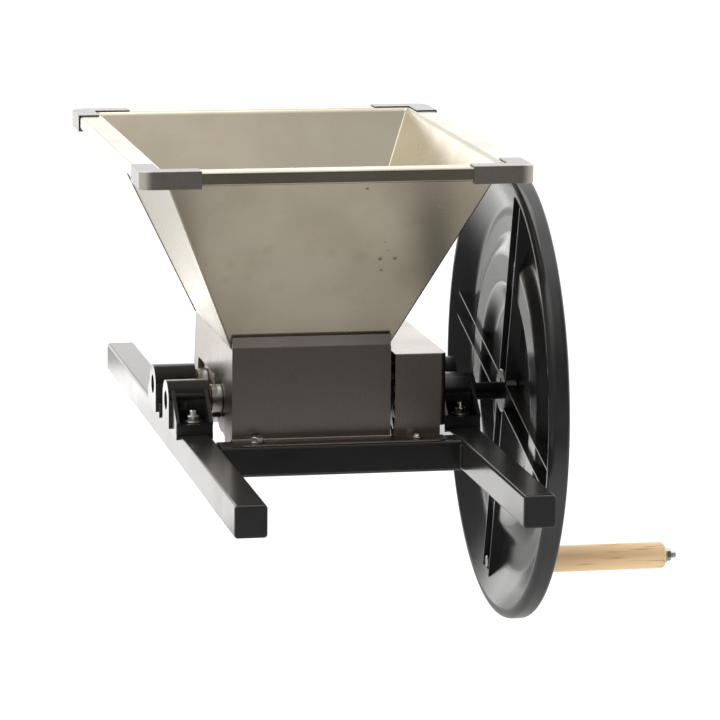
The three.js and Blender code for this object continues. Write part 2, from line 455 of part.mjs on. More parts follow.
// ---------- flywheel, key, retaining bolt ----------
const wheel = new THREE.Group();
wheel.position.set(0, -AXIS_Y, AXIS_Z);
scratter.add(wheel);
const EDGE = WHEEL_EDGE_X, BACK = WHEEL_BACK_X;
{
  const R = WHEEL_R;
  // hub, sunk middle, raised ring, outer floor, rising wall, rounded lip; then the back
  const dish = latheX([
    [368.5, 10.4], [368.5, 24.5], [369.8, 26], [382.3, 28], [382.3, 99], [380, 107], [375, 120], [372.5, 129], [372.5, 157], [375, 165], [380, 178], [382.5, 186],
    [382.5, 206], [380.8, 215], [363.4, 251.6], [EDGE, 254.8], [EDGE, 257.2], [363.6, 260.6], [366.6, 263.3], [370.8, R],
    [BACK - 5, R], [BACK - 1.5, R - 1.5], [BACK, R - 5], [BACK, 183], [375.8, 155.5], [375.8, 130.5], [BACK, 102.5],
    [BACK, 29], [HUB_END_X - 1, 27], [HUB_END_X - 1, 10.4], [368.5, 10.4],
  ], 56);
  const turn = (g, deg) => g.rotateX((deg * Math.PI) / 180);
  const ribs = [];
  const ribSide = [[368.5, 20], [383.9, 20], [383.9, 99.5], [374.2, 129], [374.2, 157], [383.9, 186.5], [383.9, 213], [373.5, 240], [368.5, 240]];
  for (let k = 0; k < 4; k++) {
    for (const s of [-1, 1]) ribs.push(turn(alongZ(ribSide, s * 15 - 1.5, s * 15 + 1.5), WHEEL_TURN + 90 * k));
  }
  const gripDeg = WHEEL_TURN - 90;
  const boss = turn(alongX(circle(GRIP_R, 0, 12, 16), 374.3, 384), gripDeg);
  const hole = turn(alongX(circle(GRIP_R, 0, 4.4, 12), 360, 400), gripDeg);
  const pocket = turn(alongX(circle(GRIP_R, 0, 9.6, 16), 355, 374.3), gripDeg);
  const keyway = box(KEY_X0 - 10, KEY_X1 + 10, -KEY_W / 2 - GAP, KEY_W / 2 + GAP, 8, 13.4);
  put(wheel, "flywheel", cut(join(dish, ...ribs, boss), hole, pocket, keyway), M.nylon());
  put(wheel, "flywheel_key", toSolid(box(KEY_X0 + GAP, KEY_X1 - GAP, -KEY_W / 2 + GAP, KEY_W / 2 - GAP, 6.8, 12.9)), M.zinc());
  put(wheel, "flywheel_washer", toSolid(alongX(circle(0, 0, 16, 20), HUB_END_X - 0.7, HUB_END_X + 1.8, [circle(0, 0, 4.4, 12)])), M.zinc());
  put(wheel, "flywheel_bolt", join(alongX(circle(0, 0, 4, 12), HUB_END_X - 25, HUB_END_X + 3), alongX(hexPts(0, 0, 13), HUB_END_X + 2.1, HUB_END_X + 7.4)), M.zinc());
}

// ---------- crank grip on its spindle ----------
{
  const a = ((WHEEL_TURN - 90) * Math.PI) / 180;
  const crank = new THREE.Group();
  crank.position.set(0, GRIP_R * Math.cos(a), GRIP_R * Math.sin(a));
  wheel.add(crank);
  put(crank, "grip_spindle", join(alongX(hexPts(0, 0, 13, 0.4), 368.6, 374), latheX([[373.5, 0], [373.5, 4], [599, 4], [600.5, 2.6], [600.5, 0]], 12)), M.zinc());
  const G0 = GRIP_X0, G1 = GRIP_X1, gr = 15.85;
  put(crank, "grip", toSolid(latheX([[G0, 4.6], [G0, gr - 1.5], [G0 + 1.5, gr], [G1 - 5, gr], [G1 - 2, gr - 1.2], [G1 - 0.5, gr - 3.5], [G1, gr - 5.5], [G1, 4.6], [G0, 4.6]], 24)), M.wood());
  put(crank, "grip_washer", toSolid(alongX(circle(0, 0, 9.5, 16), G1 + 0.4, G1 + 1.9, [circle(0, 0, 4.4, 12)])), M.zinc());
  put(crank, "grip_nut", toSolid(alongX(hexPts(0, 0, 13, 0.2), G1 + 2.2, G1 + 7.6, [circle(0, 0, 4.4, 12)])), M.zinc());
}

export default scratter;
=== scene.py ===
import math

import bmesh
import bpy
from mathutils import Matrix, Vector, noise


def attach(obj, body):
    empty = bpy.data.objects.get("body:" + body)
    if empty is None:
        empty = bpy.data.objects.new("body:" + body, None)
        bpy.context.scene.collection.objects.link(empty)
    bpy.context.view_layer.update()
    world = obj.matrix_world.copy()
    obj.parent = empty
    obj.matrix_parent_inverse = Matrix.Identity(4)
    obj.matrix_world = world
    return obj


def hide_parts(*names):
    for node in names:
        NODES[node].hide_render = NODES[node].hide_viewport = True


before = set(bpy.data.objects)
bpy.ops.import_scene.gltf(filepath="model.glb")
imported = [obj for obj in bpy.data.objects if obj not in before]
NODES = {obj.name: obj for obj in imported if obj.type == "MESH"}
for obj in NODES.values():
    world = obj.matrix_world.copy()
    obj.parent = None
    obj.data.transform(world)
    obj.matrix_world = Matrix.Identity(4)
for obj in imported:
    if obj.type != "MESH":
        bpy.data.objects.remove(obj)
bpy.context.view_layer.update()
scene = bpy.context.scene
S = 0.001                      # the shapes below are written in millimetres

# ---------------------------------------------------------------- driving dimensions
RAIL, PITCH, RAIL_LEN = 35.0, 310.0, 960.0
AXIS_Y, AXIS_Z, SHAFT_R = 50.0, 64.5, 10.0
CROSS_Y = 168.0
BLOCK_X, BLOCK_R, FOOT_Y, HEEL_Y, FOOT_X, FOOT_TOP = 24.2, 23.0, 60.5, 30.0, 21.0, 47.0
STUD_Y = 45.5
T = 1.5                        # sheet thickness
BOX_X0, BOX_X1, BOX_FRONT = 34.5, 215.7, -158.5
FLANGE_Z0, FLANGE_Z1, FLANGE_Y0 = 35.3, 36.8, -185.0
SEAM_Z, PANEL_TOP = 140.0, 154.5
RIM = (-90.2, 340.2, -305.9, 255.7)
RIM_Z, RIM_W, RIM_LIP = 361.2, 25.9, 15.0
MOUTH = (34.4, 215.8, -147.7, 97.5)
WHEEL_R, EDGE_X, BACK_X, TURN = 264.5, 362.3, 385.5, 15.5
GRIP_R, GRIP_X0, GRIP_X1 = 226.0, 387.5, 586.5
HUB_END = 389.0
GRIP_A = math.radians(TURN - 90)
GRIP_Y, GRIP_Z = -AXIS_Y + GRIP_R * math.cos(GRIP_A), AXIS_Z + GRIP_R * math.sin(GRIP_A)


# ---------------------------------------------------------------- mesh helpers
def to_mesh(name, verts, faces):
    me = bpy.data.meshes.new(name)
    me.from_pydata([tuple(c * S for c in v) for v in verts], [], faces)
    bm = bmesh.new()
    bm.from_mesh(me)
    bmesh.ops.remove_doubles(bm, verts=bm.verts, dist=1e-7)
    bmesh.ops.dissolve_degenerate(bm, edges=bm.edges, dist=1e-7)
    bmesh.ops.recalc_face_normals(bm, faces=bm.faces)
    bm.to_mesh(me)
    bm.free()
    o = bpy.data.objects.new(name, me)
    scene.collection.objects.link(o)
    return o


def place(axis, u, v, w):
    """(u, v) in the section's plane and w along the axis."""
    return (w, u, v) if axis == "x" else (u, w, v) if axis == "y" else (u, v, w)


def prism(axis, pts, a, b, name="tmp"):
    n = len(pts)
    verts = [place(axis, u, v, a) for u, v in pts] + [place(axis, u, v, b) for u, v in pts]
    faces = [tuple(range(n)), tuple(range(2 * n - 1, n - 1, -1))]
    faces += [(i, (i + 1) % n, n + (i + 1) % n, n + i) for i in range(n)]
    return to_mesh(name, verts, faces)


def box(x0, x1, y0, y1, z0, z1, name="tmp"):
    return prism("z", [(x0, y0), (x1, y0), (x1, y1), (x0, y1)], z0, z1, name)


def rings(name, loops, closed=False):
    """A skin through loops of equal length. closed joins the last loop to the first; otherwise the ends are capped."""
    n, k = len(loops[0]), len(loops)
    verts = [p for loop in loops for p in loop]
    faces = []
    for j in range(k if closed else k - 1):
        a, b = j * n, ((j + 1) % k) * n
        faces += [(a + i, a + (i + 1) % n, b + (i + 1) % n, b + i) for i in range(n)]
    if not closed:
        faces += [tuple(range(n)), tuple(range(k * n - 1, (k - 1) * n - 1, -1))]
    return to_mesh(name, verts, faces)


def lathe(axis, profile, n=96, c=(0.0, 0.0), name="tmp", shape=None):
    """profile is [(h, r)] along the axis. A profile that starts or ends at r 0 is closed there, else it closes on itself.
    shape(theta, h, r) may change the radius, as for a hexagon or a thread."""
    loops = []
    for h, r in profile:
        loop = []
        for i in range(n):
            t = 2 * math.pi * i / n
            rr = shape(t, h, r) if shape and r > 0 else r
            loop.append(place(axis, c[0] + rr * math.cos(t), c[1] + rr * math.sin(t), h))
        loops.append(loop)
    return rings(name, loops, closed=profile[0][1] > 0 and profile[-1][1] > 0)


def fillet(pts, seg=5, closed=True):
    """Rounds the corners of an outline: points are (u, v) or (u, v, radius)."""
    out, n = [], len(pts)
    for i, p in enumerate(pts):
        r = p[2] if len(p) > 2 else 0
        if not r or (not closed and i in (0, n - 1)):
            out.append((p[0], p[1]))
            continue
        P = Vector(p[:2])
        A, B = Vector(pts[i - 1][:2]) - P, Vector(pts[(i + 1) % n][:2]) - P
        la, lb = A.length, B.length
        A.normalize(), B.normalize()
        ang = math.acos(max(-1, min(1, A.dot(B))))
        if ang > math.pi - 0.02:
            out.append((p[0], p[1]))
            continue
        d = min(r / math.tan(ang / 2), la * 0.49, lb * 0.49)
        r = d * math.tan(ang / 2)
        C = P + (A + B).normalized() * (r / math.sin(ang / 2))
        s, e = P + A * d - C, P + B * d - C
        a0, a1 = math.atan2(s.y, s.x), math.atan2(e.y, e.x)
        da = (a1 - a0 + math.pi) % (2 * math.pi) - math.pi
        for k in range(seg + 1):
            a = a0 + da * k / seg
            out.append((C.x + r * math.cos(a), C.y + r * math.sin(a)))
    return out


def rect(x0, x1, y0, y1, r=0.0, seg=6):
    return fillet([(x0, y0, r), (x1, y0, r), (x1, y1, r), (x0, y1, r)], seg)


def circle(cx, cy, r, n=48, phase=0.0):
    return [(cx + r * math.cos(phase + 2 * math.pi * i / n), cy + r * math.sin(phase + 2 * math.pi * i / n)) for i in range(n)]


def strip(path, t, seg=6):
    """The outline of a bent sheet of thickness t: path is its one face, (u, v, radius), the sheet lies to its left."""
    a = fillet(path, seg, closed=False)
    b = []
    for i, p in enumerate(a):
        p0, p1 = a[max(i - 1, 0)], a[min(i + 1, len(a) - 1)]
        d = Vector((p1[0] - p0[0], p1[1] - p0[1])).normalized()
        if 0 < i < len(a) - 1:
            e0 = Vector((p[0] - p0[0], p[1] - p0[1])).normalized()
            k = max(0.5, e0.dot(d))
        else:
            k = 1.0
        b.append((p[0] - d.y * t / k, p[1] + d.x * t / k))
    return a + b[::-1]


def baked(o):
    """Applies the object's modifiers to its mesh."""
    dg = bpy.context.evaluated_depsgraph_get()
    dg.update()
    me = bpy.data.meshes.new_from_object(o.evaluated_get(dg))
    old = o.data
    o.modifiers.clear()
    o.data = me
    if old.users == 0:
        bpy.data.meshes.remove(old)
    return o


def boolean(a, *others, op="UNION"):
    for b in others:
        m = a.modifiers.new("b", "BOOLEAN")
        m.operation, m.object, m.solver = op, b, "MANIFOLD"
        before = len(a.data.polygons)
        baked(a)
        if len(a.data.polygons) == 0:
            raise RuntimeError(f"boolean emptied {a.name} ({before})")
        me = b.data
        bpy.data.objects.remove(b)
        bpy.data.meshes.remove(me)
    return a


def cut(a, *others):
    return boolean(a, *others, op="DIFFERENCE")


def bevel(o, width, seg=2, angle=32, apply=True):
    m = o.modifiers.new("bevel", "BEVEL")
    m.width, m.segments, m.limit_method, m.angle_limit = width * S, seg, "ANGLE", math.radians(angle)
    m.use_clamp_overlap = True
    m.miter_outer = "MITER_ARC"
    m.loop_slide = True
    if apply:
        baked(o)
    return o


def tidy(o, flat=0.05):
    """Merges the coplanar faces that cutting leaves behind."""
    bm = bmesh.new()
    bm.from_mesh(o.data)
    bmesh.ops.remove_doubles(bm, verts=bm.verts, dist=1e-6)
    bmesh.ops.dissolve_limit(bm, angle_limit=math.radians(flat), verts=bm.verts, edges=bm.edges)
    bmesh.ops.recalc_face_normals(bm, faces=bm.faces)
    bm.to_mesh(o.data)
    bm.free()
    return o


def piece(o, name, material, body, slot, *stands_for, sharp=32, weighted=True):
    o.name = name
    o.data.name = name
    o.data.materials.clear()
    o.data.materials.append(material)
    o.data.shade_smooth()
    o.data.set_sharp_from_angle(angle=math.radians(sharp))
    if weighted:
        m = o.modifiers.new("normals", "WEIGHTED_NORMAL")
        m.keep_sharp, m.weight = True, 60
    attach(o, body)
    if stands_for:
        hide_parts(*stands_for)
    return o


# ---------------------------------------------------------------- material helpers
class Mat:
    """A small node builder. Coordinates are the object's own, so a finish stays with its piece when the piece turns."""

    def __init__(self, name):
        self.m = bpy.data.materials.new(name)
        self.m.use_nodes = True
        self.t = self.m.node_tree
        self.p = next(n for n in self.t.nodes if n.type == "BSDF_PRINCIPLED")
        self.co = self.node("ShaderNodeTexCoord").outputs["Object"]

    def node(self, kind, **kw):
        n = self.t.nodes.new(kind)
        for k, v in kw.items():
            setattr(n, k, v)
        return n

    def link(self, a, b):
        self.t.links.new(a, b)

    def mapped(self, scale, loc=(0, 0, 0), co=None):
        n = self.node("ShaderNodeMapping")
        n.inputs["Scale"].default_value = scale
        n.inputs["Location"].default_value = loc
        self.link(co or self.co, n.inputs["Vector"])
        return n.outputs["Vector"]

    def noise(self, scale, detail=3.0, rough=0.5, stretch=(1, 1, 1), loc=(0, 0, 0), co=None, distortion=0.0):
        n = self.node("ShaderNodeTexNoise")
        n.inputs["Scale"].default_value = scale
        n.inputs["Detail"].default_value = detail
        n.inputs["Roughness"].default_value = rough
        n.inputs["Distortion"].default_value = distortion
        self.link(self.mapped(stretch, loc, co), n.inputs["Vector"])
        return n.outputs["Fac"]

    def cells(self, scale, feature="F1", randomness=1.0, stretch=(1, 1, 1), loc=(0, 0, 0)):
        n = self.node("ShaderNodeTexVoronoi")
        n.feature = feature
        n.inputs["Scale"].default_value = scale
        n.inputs["Randomness"].default_value = randomness
        self.link(self.mapped(stretch, loc), n.inputs["Vector"])
        return n.outputs["Distance"]

    def range(self, x, a0, a1, b0, b1, smooth=False):
        n = self.node("ShaderNodeMapRange")
        if smooth:
            n.interpolation_type = "SMOOTHSTEP"
        for k, v in (("From Min", a0), ("From Max", a1), ("To Min", b0), ("To Max", b1)):
            n.inputs[k].default_value = v
        self.link(x, n.inputs["Value"])
        return n.outputs["Result"]

    def math(self, op, a, b=None):
        n = self.node("ShaderNodeMath", operation=op)
        for k, v in enumerate((a, b)):
            if v is None:
                continue
            if isinstance(v, (int, float)):
                n.inputs[k].default_value = v
            else:
                self.link(v, n.inputs[k])
        return n.outputs[0]

    def mix(self, fac, a, b, blend="MIX"):
        n = self.node("ShaderNodeMix", data_type="RGBA", blend_type=blend)
        for k, v in ((0, fac), (6, a), (7, b)):
            if isinstance(v, (int, float)):
                n.inputs[k].default_value = v
            elif isinstance(v, tuple):
                n.inputs[k].default_value = v if len(v) == 4 else (*v, 1)
            else:
                self.link(v, n.inputs[k])
        return n.outputs[2]

    def ramp(self, x, *stops):
        n = self.node("ShaderNodeValToRGB")
        e = n.color_ramp.elements
        while len(e) < len(stops):
            e.new(0.5)
        for el, (pos, col) in zip(e, stops):
            el.position = pos
            el.color = col if len(col) == 4 else (*col, 1)
        self.link(x, n.inputs["Fac"])
        return n.outputs["Color"]

    def bump(self, height, distance, strength=1.0, before=None):
        n = self.node("ShaderNodeBump")
        n.inputs["Strength"].default_value = strength
        n.inputs["Distance"].default_value = distance
        self.link(height, n.inputs["Height"])
        if before is not None:
            self.link(before, n.inputs["Normal"])
        return n.outputs["Normal"]

    def xyz(self, co=None):
        n = self.node("ShaderNodeSeparateXYZ")
        self.link(co or self.co, n.inputs[0])
        return n.outputs

    def edges(self, low=0.5, high=0.56):
        """Convex edges, from the mesh's own curvature."""
        g = self.node("ShaderNodeNewGeometry")
        return self.range(g.outputs["Pointiness"], low, high, 0, 1)

    def set(self, **kw):
        for k, v in kw.items():
            s = self.p.inputs[k.replace("_", " ")]
            if isinstance(v, (int, float)):
                s.default_value = v
            elif isinstance(v, tuple):
                s.default_value = v if len(v) == 4 else (*v, 1)
            else:
                self.link(v, s)
        return self


# small dark marks on the hopper's front wall, and four large soft dark patches near its right edge that are a painted
# reflection of the flywheel: centre, radius, strength
MARKS_AND_PAINTED_REFLECTION = (
    (0.1650, -0.2640, 0.3345, 0.0024, 0.85),
    (0.1903, -0.2124, 0.2482, 0.0030, 0.85),
    (0.2068, -0.2126, 0.2486, 0.0027, 0.85),
    (0.1932, -0.2043, 0.2346, 0.0022, 0.85),
    (0.1937, -0.2249, 0.2691, 0.0013, 0.6),
    (0.1987, -0.2185, 0.2584, 0.0013, 0.6),
    (0.0630, -0.2209, 0.2624, 0.0080, 0.1),
    (0.0236, -0.2112, 0.2462, 0.0080, 0.1),
    (0.0201, -0.1995, 0.2266, 0.0068, 0.08),
    (0.0454, -0.2013, 0.2297, 0.0080, 0.08),
    (0.1116, -0.2180, 0.2576, 0.0091, 0.08),
    (0.1340, -0.2177, 0.2570, 0.0091, 0.08),
    (0.1673, -0.2143, 0.2513, 0.0114, 0.1),
    (0.0783, -0.1934, 0.2164, 0.0102, 0.08),
    # painted reflection of the flywheel, soft and dark, on the right of the front wall
    (0.2427, -0.2440, 0.3010, 0.0325, 0.14),
    (0.2384, -0.2287, 0.2754, 0.0354, 0.14),
    (0.2351, -0.2140, 0.2509, 0.0325, 0.14),
    (0.2313, -0.2014, 0.2299, 0.0265, 0.14),
)


def steel(name, base, dark, rough, grain_along="x", grain=1.0, stains=0.0, spots=0.0, marks_and_painted_reflection=()):
    """Satin stainless sheet: rolled or brushed grain, soft stains, and a faint waviness from forming."""
    m = Mat(name)
    st = {"x": (1, 60, 60), "y": (60, 1, 60), "z": (60, 60, 1), "flat": (1, 1, 30)}[grain_along]
    lines = m.noise(28, 4, 0.6, st)
    fine = m.noise(90, 3, 0.6, st)
    cloud = m.noise(9, 4, 0.55)
    col = m.mix(m.range(cloud, 0.35, 0.68, 0, 1, True), base, dark)
    col = m.mix(m.range(lines, 0.3, 0.7, 0.0, 0.22 * grain), col, tuple(c * 0.72 for c in base))
    if stains:
        warm = m.noise(14, 3, 0.5, loc=(3.1, 1.7, 0.4))
        col = m.mix(m.range(warm, 0.56, 0.72, 0, 0.5 * stains, True), col, (base[0] * 0.98, base[1] * 0.80, base[2] * 0.72))
        smudge = m.noise(26, 5, 0.65, loc=(0.7, 5.2, 2.0), distortion=0.6)
        col = m.mix(m.range(smudge, 0.60, 0.74, 0, 0.42 * stains, True), col, tuple(c * 0.6 for c in base))
    if spots:
        d = m.cells(17, loc=(0.35, 0.0, 0.21))
        keep = m.noise(5.5, 1, 0.5, loc=(9.0, 2.0, 4.0))
        dot = m.math("MULTIPLY", m.range(d, 0.035, 0.075, 1, 0, True), m.range(keep, 0.52, 0.60, 0, 1, True))
        col = m.mix(m.math("MULTIPLY", dot, spots), col, tuple(c * 0.35 for c in base))
    ragged = m.range(m.noise(60, 3, 0.6, loc=(2.0, 6.1, 0.3)), 0.3, 0.7, 0.7, 1.3) if marks_and_painted_reflection else None
    # each entry darkens the colour round its centre; the four large faint ones on the hopper are painted reflection,
    # the rest are marks
    for x, y, z, size, amount in marks_and_painted_reflection:
        n = m.node("ShaderNodeVectorMath", operation="DISTANCE")
        m.link(m.co, n.inputs[0])
        n.inputs[1].default_value = (x, y, z)
        near = m.range(m.math("MULTIPLY", n.outputs["Value"], ragged if size < 0.011 else 1.0), 0.15 * size, 1.25 * size, amount, 0.0, True)
        col = m.mix(near, col, tuple(c * 0.22 for c in base))
    r = m.math("ADD", m.range(cloud, 0.3, 0.7, rough - 0.035, rough + 0.04), m.range(fine, 0.3, 0.7, -0.03 * grain, 0.04 * grain))
    nb = m.bump(fine, 0.00002 * grain, 0.35)
    nb = m.bump(m.noise(4.5, 2, 0.4), 0.0012, 0.07, nb)
    m.set(Base_Color=col, Metallic=1.0, Roughness=r, Normal=nb)
    return m.m


def black_plastic(name, base, rough, wave=0.0, grain=0.0, dust=0.0, painted_edge_highlight=0.0):
    m = Mat(name)
    cloud = m.noise(11, 4, 0.6)
    fine = m.noise(420, 3, 0.6)
    col = m.mix(m.range(cloud, 0.3, 0.7, 0, 1), base, tuple(c * 1.5 + 0.001 for c in base))
    if dust:
        specks = m.math("MULTIPLY", m.range(m.noise(700, 2, 0.5), 0.66, 0.74, 0, 1), m.range(m.noise(20, 3, 0.6), 0.45, 0.7, 0, 1))
        col = m.mix(m.math("MULTIPLY", specks, dust), col, (0.16, 0.15, 0.14))
    # convex edges painted lighter: a painted highlight along the moulding's edges
    if painted_edge_highlight:
        col = m.mix(m.math("MULTIPLY", m.edges(0.51, 0.58), painted_edge_highlight), col, (0.10, 0.10, 0.10))
    r = m.math("ADD", m.range(cloud, 0.3, 0.7, rough - 0.03, rough + 0.05), m.range(fine, 0.35, 0.65, -0.015, 0.02))
    nb = None
    if grain:
        nb = m.bump(m.noise(900, 3, 0.6), 0.00005 * grain, 0.5, nb)
    if wave:
        nb = m.bump(m.noise(16, 2, 0.45), 0.0016, 0.10 * wave, nb)
    m.set(Base_Color=col, Roughness=r, IOR=1.5)
    if nb is not None:
        m.set(Normal=nb)
    return m.m


def powder_coat():
    m = Mat("black_powder_coat")
    cloud = m.noise(9, 4, 0.6)
    peel = m.noise(620, 2, 0.5)
    fine = m.noise(1500, 2, 0.5)
    col = m.mix(m.range(cloud, 0.3, 0.7, 0, 1), (0.0055, 0.0053, 0.0051), (0.010, 0.0096, 0.0092))
    glint = m.math("MULTIPLY", m.range(m.noise(1100, 1, 0.5), 0.68, 0.76, 0, 1), 0.35)
    col = m.mix(glint, col, (0.06, 0.057, 0.054))
    # convex edges painted lighter: a painted highlight along the tube corners
    col = m.mix(m.math("MULTIPLY", m.edges(0.515, 0.60), 0.30), col, (0.06, 0.058, 0.056))
    r = m.math("ADD", m.range(cloud, 0.3, 0.7, 0.15, 0.22), m.range(fine, 0.3, 0.7, -0.02, 0.04))
    nb = m.bump(peel, 0.00010, 0.32)
    nb = m.bump(fine, 0.00002, 0.25, nb)
    m.set(Base_Color=col, Roughness=r, Normal=nb, IOR=1.5)
    return m.m


def zinc(name="zinc_plate", base=(0.62, 0.60, 0.55), rough=0.27):
    m = Mat(name)
    cloud = m.noise(160, 3, 0.6)
    fine = m.noise(900, 3, 0.6)
    col = m.mix(m.range(cloud, 0.35, 0.7, 0, 1, True), base, (base[0] * 0.72, base[1] * 0.73, base[2] * 0.76))
    col = m.mix(m.range(m.noise(60, 2, 0.5, loc=(1, 2, 3)), 0.6, 0.75, 0, 0.35, True), col, (0.55, 0.47, 0.30))
    r = m.math("ADD", m.range(cloud, 0.3, 0.7, rough - 0.06, rough + 0.08), m.range(fine, 0.3, 0.7, -0.03, 0.04))
    m.set(Base_Color=col, Metallic=1.0, Roughness=r, Normal=m.bump(fine, 0.00003, 0.4))
    return m.m


def turned_steel(name, tone=1.0):
    m = Mat(name)
    rings_ = m.noise(240, 3, 0.6, (14, 0.6, 0.6))
    cloud = m.noise(30, 3, 0.6)
    col = m.mix(m.range(cloud, 0.3, 0.7, 0, 1), tuple(c * tone for c in (0.50, 0.49, 0.47)), tuple(c * tone for c in (0.36, 0.35, 0.34)))
    col = m.mix(m.range(rings_, 0.35, 0.65, 0, 0.3), col, tuple(c * tone for c in (0.25, 0.245, 0.24)))
    m.set(Base_Color=col, Metallic=1.0, Roughness=m.range(rings_, 0.3, 0.7, 0.24, 0.38), Normal=m.bump(rings_, 0.00003, 0.5))
    return m.m


def bronze():
    m = Mat("sintered_bronze")
    pores = m.cells(900)
    cloud = m.noise(60, 3, 0.6)
    col = m.mix(m.range(cloud, 0.3, 0.7, 0, 1), (0.46, 0.29, 0.13), (0.33, 0.20, 0.09))
    col = m.mix(m.range(pores, 0.05, 0.25, 0.5, 0), col, (0.10, 0.06, 0.03))
    m.set(Base_Color=col, Metallic=1.0, Roughness=m.range(cloud, 0.3, 0.7, 0.34, 0.48), Normal=m.bump(pores, 0.00004, 0.4))
    return m.m


def corner_plastic():
    m = Mat("rim_corner_plastic")
    cloud = m.noise(18, 4, 0.6)
    fine = m.noise(800, 3, 0.6)
    col = m.mix(m.range(cloud, 0.3, 0.7, 0, 1), (0.100, 0.088, 0.078), (0.080, 0.070, 0.061))
    col = m.mix(m.range(m.noise(55, 4, 0.6, loc=(4, 1, 2)), 0.58, 0.72, 0, 0.35, True), col, (0.045, 0.038, 0.032))
    q = m.xyz()
    dx = m.math("MINIMUM", m.math("ABSOLUTE", m.math("SUBTRACT", q[0], RIM[0] / 1000)), m.math("ABSOLUTE", m.math("SUBTRACT", q[0], RIM[1] / 1000)))
    dy = m.math("MINIMUM", m.math("ABSOLUTE", m.math("SUBTRACT", q[1], RIM[2] / 1000)), m.math("ABSOLUTE", m.math("SUBTRACT", q[1], RIM[3] / 1000)))
    col = m.mix(m.range(m.math("ADD", dx, dy), 0.004, 0.015, 0.9, 0.0, True), col, (0.40, 0.37, 0.32))   # outer corners painted pale: a painted highlight where the rounded corner turns toward the light
    m.set(Base_Color=col, Roughness=m.range(fine, 0.3, 0.7, 0.24, 0.32), Normal=m.bump(fine, 0.00003, 0.3), IOR=1.5)
    return m.m


def roller_plastic():
    m = Mat("roller_plastic")
    cloud = m.noise(14, 4, 0.6)
    fine = m.noise(500, 3, 0.6)
    col = m.mix(m.range(cloud, 0.3, 0.7, 0, 1), (0.74, 0.72, 0.66), (0.66, 0.63, 0.55))
    col = m.mix(m.range(m.noise(40, 4, 0.6, loc=(2, 2, 1)), 0.56, 0.72, 0, 0.4, True), col, (0.48, 0.38, 0.24))
    m.set(Base_Color=col, Roughness=m.range(cloud, 0.3, 0.7, 0.38, 0.5), Subsurface_Weight=0.08, Subsurface_Scale=0.004, Normal=m.bump(fine, 0.00004, 0.4))
    return m.m


def beech():
    """Beech with its grain along the grip: pale rings, short dark pores and a thin varnish."""
    m = Mat("beech")
    x = m.xyz()
    warp = m.noise(7, 3, 0.5, (0.35, 1, 1))
    ring = m.noise(46, 4, 0.55, (0.05, 1, 0.55), distortion=0.5)
    band = m.noise(16, 3, 0.5, (0.08, 1, 0.6), loc=(0.2, 0.1, 0.0))
    col = m.mix(m.range(band, 0.34, 0.66, 0, 1, True), (0.88, 0.64, 0.37), (0.77, 0.52, 0.27))
    col = m.mix(m.range(ring, 0.44, 0.62, 0, 0.42, True), col, (0.50, 0.30, 0.13))
    col = m.mix(m.range(warp, 0.3, 0.7, 0, 0.25), col, (0.80, 0.57, 0.33))
    fleck = m.noise(330, 2, 0.5, (0.045, 1, 1))
    col = m.mix(m.range(fleck, 0.615, 0.68, 0, 0.55), col, (0.36, 0.20, 0.085))
    end = m.math("MAXIMUM", m.range(x[0], 0.5775, 0.5865, 0, 0.35, True), m.range(x[0], 0.3875, 0.391, 0.30, 0, True))
    col = m.mix(end, col, (0.36, 0.21, 0.10))
    r = m.math("ADD", m.range(band, 0.3, 0.7, 0.36, 0.44), m.range(fleck, 0.5, 0.7, 0, 0.08))
    nb = m.bump(fleck, 0.00006, 0.35)
    m.set(Base_Color=col, Roughness=r, Normal=nb, Coat_Weight=0.25, Coat_Roughness=0.22, IOR=1.5)
    return m.m


M = {
    "frame_paint": powder_coat(),
    "plug_plastic": black_plastic("plug_plastic", (0.011, 0.011, 0.0115), 0.42, grain=1.0, dust=0.25, painted_edge_highlight=0.5),
    "block_nylon": black_plastic("block_nylon", (0.0042, 0.0042, 0.0043), 0.16, wave=0.5, dust=0.06, painted_edge_highlight=0.25),
    "bush_bronze": bronze(),
    "zinc": zinc(),
    "hopper_steel": steel("hopper_steel", (0.430, 0.392, 0.308), (0.390, 0.352, 0.272), 0.26, "flat", 0.2, stains=0.45, marks_and_painted_reflection=MARKS_AND_PAINTED_REFLECTION),
    "box_steel": steel("box_steel", (0.372, 0.332, 0.290), (0.325, 0.286, 0.246), 0.27, "z", 1.0, stains=0.35),
    "corner_plastic": corner_plastic(),
    # the shaft takes the turned steel at a twentieth of its tone, near black: painted shade
    "shaft_steel": turned_steel("turned_steel_painted_shade", 0.05),
    "collar_steel": turned_steel("turned_steel"),
    "roller_plastic": roller_plastic(),
    "gear_nylon": black_plastic("gear_nylon", (0.014, 0.014, 0.015), 0.34, grain=0.5, dust=0.2, painted_edge_highlight=0.3),
    "wheel_plastic": black_plastic("wheel_plastic", (0.0165, 0.0167, 0.0170), 0.19, wave=0.35, grain=0.10, dust=0.04),
    "grip_wood": beech(),
}


# ---------------------------------------------------------------- frame: rails, cross bars, plugs
def tube(axis, u0, a, b, name):
    outer = rect(u0 - RAIL / 2, u0 + RAIL / 2, 0, RAIL, 3.2, 7)
    inner = rect(u0 - RAIL / 2 + 2, u0 + RAIL / 2 - 2, 2, RAIL - 2, 1.4, 7)
    steps = [a + 0.35, a + 0.05] if a < b else []
    loops = [[place(axis, u, v, a) for u, v in inner], [place(axis, u, v, a) for u, v in outer],
             [place(axis, u, v, b) for u, v in outer], [place(axis, u, v, b) for u, v in inner]]
    return rings(name, loops, closed=True)


for name, x in (("left_rail", 0.0), ("right_rail", PITCH)):
    o = tube("y", x, -RAIL_LEN / 2, RAIL_LEN / 2, name)
    piece(o, name + "_tube", M["frame_paint"], "frame", "frame_paint", name)


